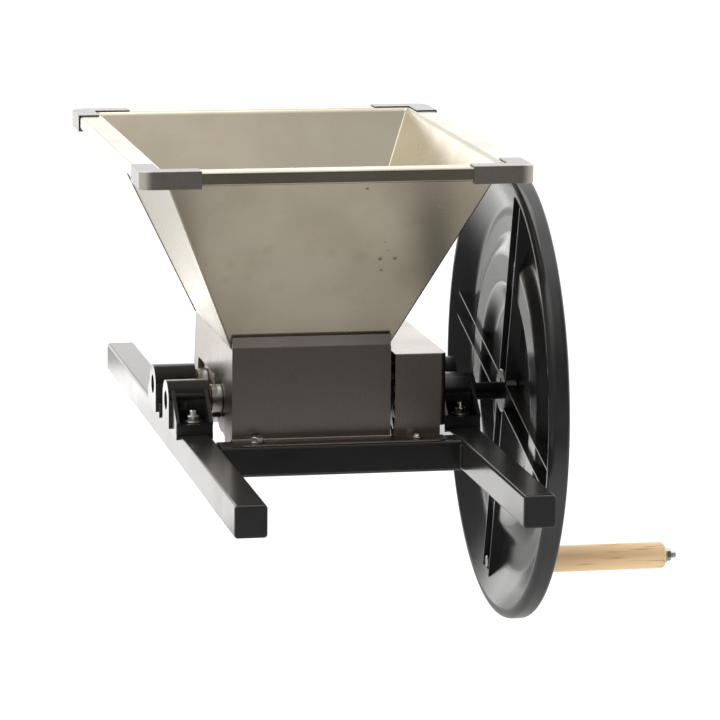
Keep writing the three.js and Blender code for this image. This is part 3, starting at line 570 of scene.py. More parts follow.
def weld_bead(x, y, z0, z1, sx, sy, r=2.6):
    """A stack of overlapping weld ripples in the corner between two tubes."""
    loops, n = [], 16
    steps = int((z1 - z0) / 0.55)
    for j in range(steps + 1):
        z = z0 + (z1 - z0) * j / steps
        rip = 1 + 0.13 * abs(math.sin(math.pi * z / 3.4)) + 0.10 * noise.noise(Vector((x * 0.1, y * 0.1, z * 0.35)))
        end = min(1.0, (j + 0.6) / 4.0, (steps - j + 0.6) / 4.0) ** 0.5
        loops.append([(x + r * rip * end * math.cos(2 * math.pi * i / n), y + r * rip * end * math.sin(2 * math.pi * i / n), z) for i in range(n)])
    return rings("bead", loops)


for name, y in (("front_cross_bar", -CROSS_Y), ("rear_cross_bar", CROSS_Y)):
    x0, x1 = RAIL / 2 + 0.3, PITCH - RAIL / 2 - 0.3
    o = tube("x", y, x0, x1, name)
    for x in (x0 + 0.4, x1 - 0.4):
        for s in (-1, 1):
            o = boolean(o, weld_bead(x, y + s * RAIL / 2, 3.5, RAIL - 3.5, 0, 0))
    piece(o, name + "_welded", M["frame_paint"], "frame", "frame_paint", name)


for name, x, s in (("rail_plug_front_left", 0.0, -1), ("rail_plug_front_right", PITCH, -1),
                   ("rail_plug_rear_left", 0.0, 1), ("rail_plug_rear_right", PITCH, 1)):
    y0 = s * (RAIL_LEN / 2 + 0.3)
    loops = []

    def sq(half, r, y):
        r = min(r, half - 0.05)
        return [(x + u, y, RAIL / 2 + v) for u, v in rect(-half, half, -half, half, max(r, 0.2), 8)]
    # from the stem's inner end, past two gripping fins, out to the crowned face
    for half, r, d in ((12.2, 1.0, 14.0), (13.2, 1.2, 13.4), (13.6, 1.2, 12.0), (15.1, 1.2, 11.2), (15.1, 1.2, 10.4), (13.6, 1.2, 9.4),
                       (13.6, 1.2, 7.6), (15.1, 1.2, 6.8), (15.1, 1.2, 6.0), (13.6, 1.2, 5.0), (13.6, 1.2, 0.0),
                       (17.0, 3.2, 0.0), (17.38, 3.5, -0.12), (17.5, 3.6, -0.45), (17.5, 3.6, -1.7), (17.38, 3.6, -2.2), (17.05, 3.5, -2.6), (16.5, 3.2, -2.85), (15.9, 3.0, -2.93), (12, 2.4, -2.97), (6, 1.4, -3.0), (1.5, 0.5, -3.0)):
        loops.append(sq(half, r, y0 - s * d))
    o = rings(name, loops)
    piece(o, name + "_cap", M["plug_plastic"], "frame", "plug_plastic", name, sharp=50)


# ---------------------------------------------------------------- bearing blocks
def block(name, x, s, sx):
    """s is the side the foot points to along Y, sx is +1 where the bush flange faces +X."""
    yc = s * AXIS_Y

    def Y(v):
        return yc - s * v   # local +v is the heel side, towards the middle
    arch = [(Y(-BLOCK_R), RAIL + 0.3), (Y(BLOCK_R), RAIL + 0.3)]
    arch += [(Y(BLOCK_R * math.cos(math.pi * i / 40)), AXIS_Z + BLOCK_R * math.sin(math.pi * i / 40)) for i in range(41)]
    body = prism("x", arch, x - BLOCK_X, x + BLOCK_X)
    foot = prism("z", fillet([(x - FOOT_X, Y(-FOOT_Y), 2.5), (x + FOOT_X, Y(-FOOT_Y), 2.5), (x + FOOT_X, Y(HEEL_Y), 2.5), (x - FOOT_X, Y(HEEL_Y), 2.5)], 5), RAIL + 0.3, FOOT_TOP)
    web = [(Y(-FOOT_Y + 0.4), FOOT_TOP - 1), (Y(-FOOT_Y + 0.4), FOOT_TOP + 2.3), (Y(-21.2), 79.6), (Y(-17), 79.6), (Y(-17), FOOT_TOP - 1)]
    webs = [prism("x", web, x - FOOT_X + 0.01, x - FOOT_X + 4), prism("x", web, x + FOOT_X - 4, x + FOOT_X - 0.01)]
    skirts = [box(x - FOOT_X, x - RAIL / 2 - 0.3, min(Y(-FOOT_Y + 1), Y(HEEL_Y - 1)), max(Y(-FOOT_Y + 1), Y(HEEL_Y - 1)), 29.5, RAIL + 2),
              box(x + RAIL / 2 + 0.3, x + FOOT_X, min(Y(-FOOT_Y + 1), Y(HEEL_Y - 1)), max(Y(-FOOT_Y + 1), Y(HEEL_Y - 1)), 29.5, RAIL + 2)]
    o = boolean(body, foot, *webs, *skirts)
    # a pad under the nut
    o = boolean(o, lathe("z", [(FOOT_TOP - 1, 0), (FOOT_TOP - 1, 11.4), (FOOT_TOP + 0.2, 11.2), (FOOT_TOP + 0.2, 0)], 64, (x, Y(-STUD_Y))))
    far = x - sx * (BLOCK_X + 1)
    o = cut(o,
            lathe("x", sorted([(x - sx * 16, 13.5), (far, 0), (x - sx * 16, 0), (far, 13.5)][:0] or [(min(x - sx * 16, x + sx * 30), 0), (min(x - sx * 16, x + sx * 30), 13.5), (max(x - sx * 16, x + sx * 30), 13.5), (max(x - sx * 16, x + sx * 30), 0)], key=lambda q: 0), 72, (yc, AXIS_Z)),
            lathe("x", [(min(far, x), 0), (min(far, x), 10.9), (max(far, x), 10.9), (max(far, x), 0)], 72, (yc, AXIS_Z)),
            lathe("z", [(RAIL - 2, 0), (RAIL - 2, 4.6), (FOOT_TOP + 3, 4.6), (FOOT_TOP + 3, 0)], 48, (x, Y(-STUD_Y))))
    tidy(o)
    bevel(o, 0.75, 3, 30)
    piece(o, f"{name}_moulding", M["block_nylon"], "frame", "block_nylon", name, sharp=40)


for where, x, s, sx in (("front_left", 0.0, -1, 1), ("front_right", PITCH, -1, -1), ("rear_left", 0.0, 1, 1), ("rear_right", PITCH, 1, -1)):
    block(f"bearing_block_{where}", x, s, sx)
    yc = s * AXIS_Y
    prof = fillet([(-15.7, 10.5, 0.5), (-15.7, 13, 0.5), (BLOCK_X + 0.3, 13), (BLOCK_X + 0.3, 16.5, 0.3), (26.5, 16.5, 0.6), (26.5, 10.5, 0.6)], 3)
    o = lathe("x", [(x + sx * h, r) for h, r in prof], 80, (yc, AXIS_Z), "bush")
    piece(o, f"bush_{where}_turned", M["bush_bronze"], "frame", "bush_bronze", f"bush_{where}")


# ---------------------------------------------------------------- fasteners
def hexed(af, z_low, z_top, chamfer=0.9, phase=0.0, lower=False):
    """A radius rule for a hexagon across flats af, with the turned chamfer at its top (and its foot)."""
    def shape(t, h, r):
        k = (t - phase) % (math.pi / 3) - math.pi / 6
        hexr = af / 2 / math.cos(k)
        lim = 1e9
        corner = af / math.sqrt(3)
        if h > z_top - chamfer * 1.4:
            lim = corner - (h - (z_top - chamfer * 1.4)) * 1.15 + 0.02
        if lower and h < z_low + chamfer * 1.4:
            lim = min(lim, corner - ((z_low + chamfer * 1.4) - h) * 1.15 + 0.02)
        return min(hexr, lim)
    return shape


def spun_parts(axis, c, sections, name, n=96, flip=None):
    """sections is [(h, r, rule or None)] in order; a rule changes the radius round the circle."""
    loops = []
    for h, r, rule in sections:
        hh = flip(h) if flip else h
        loop = []
        for i in range(n):
            t = 2 * math.pi * i / n
            rr = rule(t, h, r) if rule else r
            loop.append(place(axis, c[0] + rr * math.cos(t), c[1] + rr * math.sin(t), hh))
        loops.append(loop)
    return rings(name, loops, closed=sections[0][1] > 0.02 and sections[-1][1] > 0.02)


def nut(axis, c, base, af, height, bore, washer_r, washer_t, name, phase=0.0, flip=None, n=96):
    top = base + height
    rule = hexed(af, base + washer_t, top, 0.85, phase)
    s = [(base, bore, None), (base, washer_r - 0.3, None), (base + 0.2, washer_r, None), (base + washer_t * 0.65, washer_r, None)]
    s += [(base + washer_t, washer_r - 0.35, None), (base + washer_t + 0.35, af / 2 + 0.6, None), (base + washer_t + 0.5, 1, rule)]
    for k in range(9):
        s.append((top - 1.2 + 1.2 * k / 8, 1, rule))
    s += [(top, bore + 0.75, None), (top - 0.55, bore, None)]
    return spun_parts(axis, c, s, name, n, flip)


def threaded(r, pitch, h0):
    def shape(t, h, rr):
        f = ((h - h0) / pitch - t / (2 * math.pi)) % 1.0
        return rr - 0.36 * abs(2 * f - 1) if rr > r - 0.45 else rr
    return shape


def thread_sections(r, pitch, a, b, tip=0.9, step=0.22):
    rule = threaded(r, pitch, a)
    k = max(2, int((b - tip - a) / step))
    s = [(a + (b - tip - a) * i / k, r, rule) for i in range(k + 1)]
    s += [(b - tip * 0.5, r - 0.55, None), (b - tip * 0.12, r - 0.95, None), (b, r - 1.25, None), (b, 0.01, None)]
    return s


for where, x, s in (("front_left", 0.0, -1), ("front_right", PITCH, -1), ("rear_left", 0.0, 1), ("rear_right", PITCH, 1)):
    c = (x, s * (AXIS_Y + STUD_Y))
    sec = [(29.7, 0.01, None), (29.7, 6.7, None), (30.0, 7.0, None), (32.4, 7.0, None), (32.7, 6.7, None), (32.7, 4.0, None)]
    o = spun_parts("z", c, sec + [(44.0, 4.0, None)] + thread_sections(4.0, 1.25, 45.0, 61.0), "stud", 48)
    piece(o, f"block_stud_{where}_thread", M["zinc"], "frame", "zinc", f"block_stud_{where}")
    o = nut("z", c, FOOT_TOP + 0.3, 13, 7.9, 4.05, 10.0, 1.6, "nut", math.pi / 6 if s < 0 else 0.2)
    piece(o, f"block_nut_{where}_flanged", M["zinc"], "frame", "zinc", f"block_nut_{where}")


def hex_bolt(c, name, node, phase):
    z = FLANGE_Z1 + 0.3
    top = z + 6.9
    rule = hexed(13, z + 1.6, top, 0.9, phase)
    sec = [(18.0, 0.01, None), (18.0, 3.2, None), (18.8, 3.9, None), (z - 0.02, 3.9, None), (z, 7.6, None), (z + 0.2, 8.0, None), (z + 1.2, 8.0, None), (z + 1.55, 7.6, None), (z + 1.62, 6.9, None), (z + 1.7, 1, rule)]
    sec += [(top - 1.3 + 1.3 * k / 8, 1, rule) for k in range(9)]
    sec += [(top, 5.2, None), (top - 0.35, 4.6, None), (top - 0.4, 0.01, None)]
    o = spun_parts("z", c, sec, name, 96)
    piece(o, name, M["zinc"], "frame", "zinc", node)


hex_bolt((61.0, -171.5), "box_bolt_front_hex", "box_bolt_front", 0.3)
hex_bolt((61.0, CROSS_Y), "box_bolt_rear_left_hex", "box_bolt_rear_left", 0.3)
hex_bolt((190.0, CROSS_Y), "box_bolt_rear_right_hex", "box_bolt_rear_right", 0.3)
z = FLANGE_Z1 + 0.3
sec = [(20.0, 0.01, None), (20.0, 2.4, None), (20.6, 2.95, None), (z - 0.01, 2.95, None), (z, 6.2, None), (z + 0.15, 6.5, None), (z + 1.0, 6.5, None), (z + 1.35, 6.2, None), (z + 1.4, 5.2, None)]
sec += [(z + 1.4 + 3.6 * math.sin(math.radians(a)), 5.0 * math.cos(math.radians(a)) ** 0.7 + 0.01, None) for a in (4, 14, 25, 36, 47, 58, 68, 77, 84)]
sec += [(z + 5.05, 0.6, None), (z + 5.07, 0.01, None)]
o = spun_parts("z", (243.5, -171.5), sec, "cover_bolt_dome", 72)
piece(o, "cover_bolt_dome", M["zinc"], "frame", "zinc", "cover_bolt")


# ---------------------------------------------------------------- mill box
def corner_cutter(x, y, sx, sy, r, z0, z1):
    """Removes the square corner at (x, y) outside a radius r; sx, sy point out of the sheet."""
    cx, cy = x - sx * r, y - sy * r
    pts = [(x + sx * 2, y + sy * 2), (cx, y + sy * 2)]
    pts += [(cx + sx * r * math.sin(a), cy + sy * r * math.cos(a)) for a in [math.pi / 2 * i / 10 for i in range(11)]]
    pts += [(x + sx * 2, cy)]
    return prism("z", pts, z0, z1)


# front panel: foot flange, bend, brushed face and a top edge that leans out over the hopper's skirt
path = [(FLANGE_Y0, FLANGE_Z1), (BOX_FRONT, FLANGE_Z1, 2.2), (BOX_FRONT, PANEL_TOP - 12.5, 9.0), (BOX_FRONT - 1.35, PANEL_TOP)]
pts = strip(path, -T, 8)
o = prism("x", pts, BOX_X0 - 0.2, BOX_X1 - 0.8)
o = boolean(o, box(BOX_X1 - 2.0, BOX_X1 + 1.8, FLANGE_Y0, BOX_FRONT + 0.9, FLANGE_Z0, FLANGE_Z1))
o = cut(o, corner_cutter(BOX_X0 - 0.2, FLANGE_Y0, -1, -1, 10, FLANGE_Z0 - 2, FLANGE_Z1 + 2))
tidy(o)
bevel(o, 0.28, 2, 40)
piece(o, "box_front_panel_sheet", M["box_steel"], "frame", "box_steel", "box_front_panel", sharp=40)

# gear cover: one folded sheet with rounded upright edges
x0, x1, y0, y1, ztop = 220.5, 279.5, BOX_FRONT, 112.0, 130.5


def cover_plan(d, r):
    return fillet([(x0 if d == 0 else x0 - 5, y0 + d), (x1 - d, y0 + d, r), (x1 - d, y1 - d, r), (x0 if d == 0 else x0 - 5, y1 - d)], 12)


outer = cover_plan(0, 7.0)
loops = []
for inset, zz in ((0, FLANGE_Z0), (0, ztop - 1.6), (0.12, ztop - 1.0), (0.45, ztop - 0.45), (1.0, ztop - 0.12), (1.6, ztop)):
    loops.append([(max(u, x0) if inset == 0 else min(max(u, x0), x1 - inset), min(max(v, y0 + inset), y1 - inset), zz) for u, v in outer])
o = rings("gear_cover", loops)
o = cut(o, prism("z", cover_plan(T, 5.5), FLANGE_Z0 - 5, ztop - T),
        prism("x", fillet([(-66, 20), (66, 20), (66, 84, 5), (-66, 84, 5)], 6), x1 - 12, x1 + 5),
        box(x0 - 5, x1 - 9, y1 - 20, y1 + 5, 20, 60),
        box(x1 - 6.9, x1 + 5, y0 - 5, y1 + 5, 20, 48))
flange = prism("z", fillet([(BOX_X1 + 2.2, FLANGE_Y0), (x1 - 3.5, FLANGE_Y0, 10), (x1 - 3.5, y0 + 1.2), (BOX_X1 + 2.2, y0 + 1.2)], 10), FLANGE_Z0, FLANGE_Z1)
o = boolean(o, flange)
tidy(o)
bevel(o, 0.25, 2, 45)
piece(o, "gear_cover_sheet", M["box_steel"], "frame", "box_steel", "gear_cover", sharp=40)

for node in ("box_left_wall", "box_right_wall", "box_rear_panel", "feed_guide_plate", "drive_end_disc", "driven_end_disc"):
    o = NODES[node]
    o.data.materials.clear()
    o.data.materials.append(M["box_steel"])
    bevel(o, 0.3, 2, 35, apply=False)


# ---------------------------------------------------------------- hopper
def ring4(z, x0, x1, y0, y1, r, seg=6, side=14):
    """A rounded rectangle whose straight sides are divided too, with a fixed number of points."""
    out = []
    r = max(r, 0.15)
    cs = [(x0 + r, y0 + r, 180), (x1 - r, y0 + r, 270), (x1 - r, y1 - r, 0), (x0 + r, y1 - r, 90)]
    for k, (cx, cy, a0) in enumerate(cs):
        arc = [(cx + r * math.cos(math.radians(a0 + 90 * i / seg)), cy + r * math.sin(math.radians(a0 + 90 * i / seg))) for i in range(seg + 1)]
        nx, ny, na = cs[(k + 1) % 4]
        start = (nx + r * math.cos(math.radians(na)), ny + r * math.sin(math.radians(na)))
        out += arc
        e = arc[-1]
        out += [(e[0] + (start[0] - e[0]) * j / side, e[1] + (start[1] - e[1]) * j / side) for j in range(1, side)]
    return [(u, v, z) for u, v in out]


def hopper():
    high = (RIM[0] + RIM_W, RIM[1] - RIM_W, RIM[2] + RIM_W, RIM[3] - RIM_W)
    z0, z1 = SEAM_Z, RIM_Z

    def at(z):
        k = (z - z0) / (z1 - z0)
        return [a + (b - a) * k for a, b in zip(MOUTH, high)]

    def inset(q, dx, dy):
        return (q[0] + dx, q[1] - dx, q[2] + dy, q[3] - dy)

    loops = []
    # outer skin, upwards
    steps = 12
    for j in range(steps + 1):
        z = z0 + (z1 - T - 2.2 - z0) * j / steps
        loops.append(ring4(z, *at(z), 2.2))
    # bend under the rim, then out along the underside of the flange
    for a in (18, 36, 54, 72, 90):
        t = math.radians(a)
        z = z1 - T - 2.2 + 2.2 * math.sin(t)
        q = at(z1 - T - 2.2)
        loops.append(ring4(z, *inset(q, -2.2 * (1 - math.cos(t)) - 1.2 * math.sin(t), -2.2 * (1 - math.cos(t)) - 1.2 * math.sin(t)), 3.2))
    zi = z1 - T

    def rim(d, z, r):
        return ring4(z, RIM[0] + d, RIM[1] - d, RIM[2] + d, RIM[3] - d, r)
    loops.append(rim(4.0, zi, 5.0))
    for a in (0, 30, 60, 90):     # inner side of the outer bend
        t = math.radians(a)
        loops.append(rim(T + 1.5 - 1.5 * math.sin(t), zi - 1.5 + 1.5 * math.cos(t), 6.0))
    low = z1 - RIM_LIP
    loops.append(rim(T, low + T + 1.2, 6.0))
    for a in (30, 60, 90):
        t = math.radians(a)
        loops.append(rim(T + 1.2 - 1.2 * math.cos(t), low + T + 1.2 - 1.2 * math.sin(t), 6.0))
    loops.append(rim(9.0, low + T, 3.0))
    loops.append(rim(9.0, low, 3.0))
    for a in (90, 68, 45, 22, 0):
        t = math.radians(a)
        loops.append(rim(2.6 - 2.6 * math.cos(t), low + 2.6 - 2.6 * math.sin(t), 8.0))
    for a in (0, 15, 30, 45, 60, 75, 90):
        t = math.radians(a)
        loops.append(rim(2.8 - 2.8 * math.cos(t), z1 - 2.8 + 2.8 * math.sin(t), 8.0))
    # along the top to the bend into the funnel
    q1 = inset(at(z1), 1.65, 1.75)
    k = 3.2
    loops.append(ring4(z1, *inset(q1, -k, -k), 4.5))
    slope = ((high[0] - MOUTH[0]) / (z1 - z0), (high[2] - MOUTH[2]) / (z1 - z0))
    for a in (0.22, 0.45, 0.7, 1.0):
        d = k * (1 - a)
        dz = k * 1.1 * a ** 2
        q = inset(at(z1 - dz), 1.65, 1.75)
        m = (1 - a) ** 2 * 0.9
        loops.append(ring4(z1 - dz * 0.9, *inset(q, -d * 0.75, -d * 0.75), 2.6))
    for j in range(steps + 1):
        z = (z1 - 4.5) + (z0 - (z1 - 4.5)) * j / steps
        loops.append(ring4(z, *inset(at(z), 1.65, 1.75), 1.0))
    return rings("hopper", loops, closed=True)


o = hopper()
piece(o, "hopper_sheet", M["hopper_steel"], "frame", "hopper_steel", "hopper", sharp=35)

# the rear sheet stands a little proud of the side sheets along both rear corners
high = (RIM[0] + RIM_W, RIM[1] - RIM_W, RIM[2] + RIM_W, RIM[3] - RIM_W)
for side, k, out in (("left", 0, -1), ("right", 1, 1)):
    verts = []
    for z in (SEAM_Z + 1.0, RIM_Z - 5.0):
        t = (z - SEAM_Z) / (RIM_Z - SEAM_Z)
        x, y = MOUTH[k] + (high[k] - MOUTH[k]) * t, MOUTH[3] + (high[3] - MOUTH[3]) * t
        verts += [(x - out * 1.0, y - 2.3, z), (x + out * 1.0, y - 2.3, z), (x + out * 1.1, y - 1.9, z), (x + out * 1.1, y - 1.4, z), (x + out * 0.7, y - 1.1, z), (x - out * 1.0, y - 1.1, z)]
    o = to_mesh("edge", verts, [(0, 1, 2, 3, 4, 5), (11, 10, 9, 8, 7, 6)] + [(i, (i + 1) % 6, 6 + (i + 1) % 6, 6 + i) for i in range(6)])
    piece(o, "hopper_rear_edge_" + side, M["hopper_steel"], "frame", "hopper_steel", sharp=35)


# ---------------------------------------------------------------- rim corner caps
def rim_corner(node, sx, sy):
    X, Y = (RIM[1] if sx > 0 else RIM[0]), (RIM[3] if sy > 0 else RIM[2])

    def plan(o_, leg, width, r, rin=0.0):
        pts = [(-leg, -width), (-leg, o_), (o_, o_, r), (o_, -leg), (-width, -leg), (-width, -width, rin)]
        return [(X + sx * u, Y + sy * v) for u, v in fillet(pts, 12)]
    top, low = RIM_Z + 0.3 + 1.2, RIM_Z - 18
    o = prism("z", plan(1.5, 66, 23.5, 9.5, 2.0), low, top)
    o = cut(o, prism("z", plan(0.3, 71, 33.5, 8.3), RIM_Z - RIM_LIP - 0.3, RIM_Z + 0.3),
            prism("z", plan(-9, 71, 33.5, 3), low - 5, RIM_Z - RIM_LIP))
    tidy(o)
    bevel(o, 0.55, 3, 45)
    piece(o, node + "_cap", M["corner_plastic"], "frame", "corner_plastic", node, sharp=40)


for node, sx, sy in (("rim_corner_front_left", -1, -1), ("rim_corner_front_right", 1, -1), ("rim_corner_rear_left", -1, 1), ("rim_corner_rear_right", 1, 1)):
    rim_corner(node, sx, sy)


# ---------------------------------------------------------------- shafts, rollers, gears, collars
def roller(name, yc, hand, body, phase=0.0):
    teeth, per = 10, 18
    loops = []
    a, b = 45.0, 211.0

    def loop(x, shrink=0.0, r_flat=None):
        t0 = hand * math.radians(30) * (x - 0) / 166.0 - hand * math.radians(30) * 45.0 / 166.0
        out = []
        for i in range(teeth * per):
            th = 2 * math.pi * i / (teeth * per)
            f = (i % per) / per
            d = abs((f + 0.5) % 1.0 - 0.5) * 2          # 0 at the tooth's middle, 1 between teeth
            k = 1 - min(1, max(0, (d - 0.26) / 0.48))
            k = k * k * (3 - 2 * k)
            r = 38.5 + 9.0 * k - shrink
            if r_flat:
                r = r_flat
            out.append((x, yc + r * math.cos(th + t0), AXIS_Z + r * math.sin(th + t0)))
        return out
    loops.append(loop(a, r_flat=10.6))
    loops.append(loop(a, shrink=1.2))
    loops.append(loop(a + 0.4, shrink=0.35))
    loops.append(loop(a + 1.2))
    for j in range(1, 40):
        loops.append(loop(a + (b - a) * j / 40))
    loops += [loop(b - 1.2), loop(b - 0.4, shrink=0.35), loop(b, shrink=1.2), loop(b, r_flat=10.6)]
    o = rings(name, loops, closed=True)
    piece(o, name + "_moulding", M["roller_plastic"], body, "roller_plastic", name, sharp=45)


roller("drive_roller", -AXIS_Y, 1, "drive")
roller("driven_roller", AXIS_Y, -1, "driven")


def gear(name, yc, phase, body):
    N, mod = 20, 5
    rp = mod * N / 2
    rb = rp * math.cos(math.radians(20))
    ra, rf = rp + 4.6, rp - 6.3

    def inv(a):
        return math.tan(a) - a
    half = math.pi / (2 * N) - 0.0075

    def ang(r):
        return half + inv(math.radians(20)) - (inv(math.acos(rb / r)) if r > rb else 0)
    flank = [(rf, ang(rb) + 0.016), (rf + 0.6, ang(rb) + 0.004), (rb, ang(rb))] + [(rb + (ra - rb) * k / 6, ang(rb + (ra - rb) * k / 6)) for k in range(1, 6)] + [(ra - 0.2, ang(ra)), (ra, ang(ra) - 0.004)]
    pts = []
    for i in range(N):
        a = phase + 2 * math.pi * i / N
        pts += [(yc + r * math.cos(a - d), AXIS_Z + r * math.sin(a - d)) for r, d in flank]
        pts += [(yc + r * math.cos(a + d), AXIS_Z + r * math.sin(a + d)) for r, d in reversed(flank)]
    o = prism("x", pts, 232, 252)
    o = boolean(o, lathe("x", fillet([(224, 0), (224, 18, 0.8), (260, 18, 0.8), (260, 0)], 3), 72, (yc, AXIS_Z)))
    o = cut(o, lathe("x", [(215, 0), (215, 10.5), (270, 10.5), (270, 0)], 64, (yc, AXIS_Z)))
    # webbed faces
    for a, b in ((230.5, 235.0), (249.0, 253.5)):
        o = cut(o, lathe("x", [(a, 21), (a, 39), (b, 38), (b, 22)], 72, (yc, AXIS_Z)))
    tidy(o)
    piece(o, name + "_moulding", M["gear_nylon"], body, "gear_nylon", name, sharp=35)


gear("drive_gear", -AXIS_Y, 0.0, "drive")
gear("driven_gear", AXIS_Y, math.pi / 20, "driven")

for name, yc, end, body in (("drive", -AXIS_Y, HUB_END - 3, "drive"), ("driven", AXIS_Y, PITCH + 20, "driven")):
    prof = [(-20, 0), (-20, 2.2), (-19.2, 2.6), (-19.2, 2.9), (-20, 3.3), (-20, 9.0), (-19.7, 9.5), (-19.0, 10.0)]
    prof += [(-19.0 + (end + 18.0) * k / 30, 10.0) for k in range(1, 30)]
    prof += [(end - 1.0, 10.0), (end - 0.3, 9.5), (end, 9.0)]
    if body == "drive":
        prof += [(end, 4.5), (end - 24, 4.4), (end - 26, 0)]
    else:
        prof += [(end, 3.2), (end - 0.8, 2.6), (end - 0.8, 0)]
    o = lathe("x", prof, 72, (yc, AXIS_Z), name + "_shaft")
    if body == "drive":
        o = cut(o, box(371, 384, yc - 3, yc + 3, AXIS_Z + 6.5, AXIS_Z + 12))
        tidy(o)
    piece(o, name + "_shaft_turned", M["shaft_steel"], body, "shaft_steel", name + "_shaft", sharp=35)

    o = lathe("x", fillet([(26.9, 10.5, 0.4), (26.9, 16.5, 1.0), (39.6, 16.5, 1.0), (39.6, 10.5, 0.4)], 4), 96, (yc, AXIS_Z), "collar")
    o = cut(o, lathe("z", [(AXIS_Z - 25, 0), (AXIS_Z - 25, 3.4), (AXIS_Z - 5, 3.4), (AXIS_Z - 5, 0)], 32, (34.5, yc)))
    tidy(o)
    piece(o, name + "_collar_turned", M["collar_steel"], body, "collar_steel", name + "_collar", sharp=35)
    zt, zb = AXIS_Z - 16.9, AXIS_Z - 21.0
    rule = hexed(10, -1e3, 21.0, 0.6, math.pi / 6)
    sec = [(10.6, 0.01, None), (10.6, 2.4, None), (11.1, 2.95, None), (16.9, 2.95, None), (16.9, 1, rule)]
    sec += [(21.0 - 0.9 + 0.9 * k / 6, 1, rule) for k in range(7)] + [(21.0, 3.6, None), (20.8, 0.01, None)]
    o = spun_parts("z", (34.5, yc), sec, "screw", 72, flip=lambda h: AXIS_Z - h)
    piece(o, name + "_collar_screw_hex", M["zinc"], body, "zinc", name + "_collar_screw")


# ---------------------------------------------------------------- flywheel
def smooth_path(a, b, n):
    """An S curve from (x, r) a to b."""
    out = []
    for i in range(n + 1):
        t = i / n
        k = t * t * (3 - 2 * t)
        out.append((a[0] + (b[0] - a[0]) * k, a[1] + (b[1] - a[1]) * t))
    return out


def arc(cx, cy, rx, ry, a0, a1, n):
    return [(cx + rx * math.cos(math.radians(a0 + (a1 - a0) * i / n)), cy + ry * math.sin(math.radians(a0 + (a1 - a0) * i / n))) for i in range(n + 1)]


def flywheel():
    c = (-AXIS_Y, AXIS_Z)
    R = WHEEL_R
    prof = [(368.5, 10.4)]
    prof += [(368.5, 23.6)] + [(368.5 + 1.5 * (1 - math.cos(math.radians(a))), 23.6 + 1.9 * math.sin(math.radians(a))) for a in (20, 40, 60, 80)]
    prof += [(374.0, 26.1), (380.2, 27.1), (381.5, 27.9), (382.2, 29.4), (382.3, 31.2)]
    # sunk middle, raised ring, outer floor
    prof += [(382.3, 31.2 + (98 - 31.2) * k / 6) for k in range(1, 7)]
    prof += smooth_path((382.3, 99), (372.5, 129), 16)
    prof += [(372.5, 136), (372.5, 143), (372.5, 150)]
    prof += smooth_path((372.5, 157), (382.5, 185), 16)
    prof += [(382.5, 192), (382.5, 199), (382.5, 203)]
    # fillet, then the wall that rises to the rim
    slope = math.atan2(382.5 - 364.4, 249.0 - 209.0)
    f = 34.0
    d = f * math.tan(slope / 2)
    y0 = 249.0 - (382.5 - 364.4) / math.tan(slope)
    prof += [(382.5 - f * (1 - math.cos(slope * k / 8)), y0 - d + f * math.sin(slope * k / 8)) for k in range(0, 9)]
    # rounded lip
    prof += [(370.8 - 8.5 * math.sin(math.radians(a)), 256 - 8.5 * math.cos(math.radians(a))) for a in (63, 72, 81, 90, 99, 108, 117, 126, 135, 144, 153, 162, 171, 180)]
    prof += [(370.8 + (BACK_X - 5.2 - 370.8) * k / 3, R) for k in range(1, 4)]
    prof += [(BACK_X - 5.2 + 5.2 * math.sin(math.radians(a)), R - 5.2 + 5.2 * math.cos(math.radians(a))) for a in (15, 30, 45, 60, 75, 90)]
    prof += [(BACK_X, R - 8), (BACK_X, 200)]
    prof += [(BACK_X, 184)] + smooth_path((BACK_X, 183), (375.8, 155.5), 14)
    prof += [(375.8, 143)] + smooth_path((375.8, 130.5), (BACK_X, 102.5), 14)
    prof += [(BACK_X, 60), (BACK_X, 32.5), (386.1, 30.6), (386.9, 29.2)]
    prof += [(387.5, 27.4), (387.8, 26.9), (388.0, 26.2), (388.0, 10.4)]
    o = lathe("x", prof, 256, c, "flywheel")
    # four double ribs, their crests level with the hub
    for k in range(4):
        a = math.radians(TURN + 90 * k)
        for s in (-1, 1):
            # outline in (r, x), thickness across
            out = [(20, 384.0), (20, 368.5), (236.5, 368.5), (239.5, 369.4), (241.0, 371.5), (241.0, 374.5), (214, 384.0), (187, 384.0), (157, 374.2), (129, 374.2), (99, 384.0)]
            verts = []
            for side in (-1, 1):
                for r, x in out:
                    t = s * 15 + side * (1.2 + 0.028 * (x - 368.5))
                    verts.append((x, c[0] + r * math.cos(a) - t * math.sin(a), c[1] + r * math.sin(a) + t * math.cos(a)))
            n = len(out)
            faces = [tuple(range(n)), tuple(range(2 * n - 1, n - 1, -1))] + [(i, (i + 1) % n, n + (i + 1) % n, n + i) for i in range(n)]
            rib = to_mesh("rib", verts, faces)
            bevel(rib, 0.55, 3, 30)
            o = boolean(o, rib)
    boss = lathe("x", fillet([(374, 0), (374, 12.5, 0.6), (384, 13.2), (384, 0)], 3), 64, (GRIP_Y, GRIP_Z))
    o = boolean(o, boss)
    o = cut(o, lathe("x", [(360, 0), (360, 4.45), (400, 4.45), (400, 0)], 48, (GRIP_Y, GRIP_Z)),
            lathe("x", [(352, 0), (352, 9.6), (374.05, 9.6), (374.05, 0)], 64, (GRIP_Y, GRIP_Z)),
            box(361, 394, c[0] - 3.3, c[0] + 3.3, AXIS_Z + 8, AXIS_Z + 13.4))
    tidy(o, 0.02)
    return o


o = flywheel()
piece(o, "flywheel_moulding", M["wheel_plastic"], "drive", "wheel_plastic", "flywheel", sharp=38)

NODES["flywheel_key"].data.materials.clear()
NODES["flywheel_key"].data.materials.append(M["zinc"])

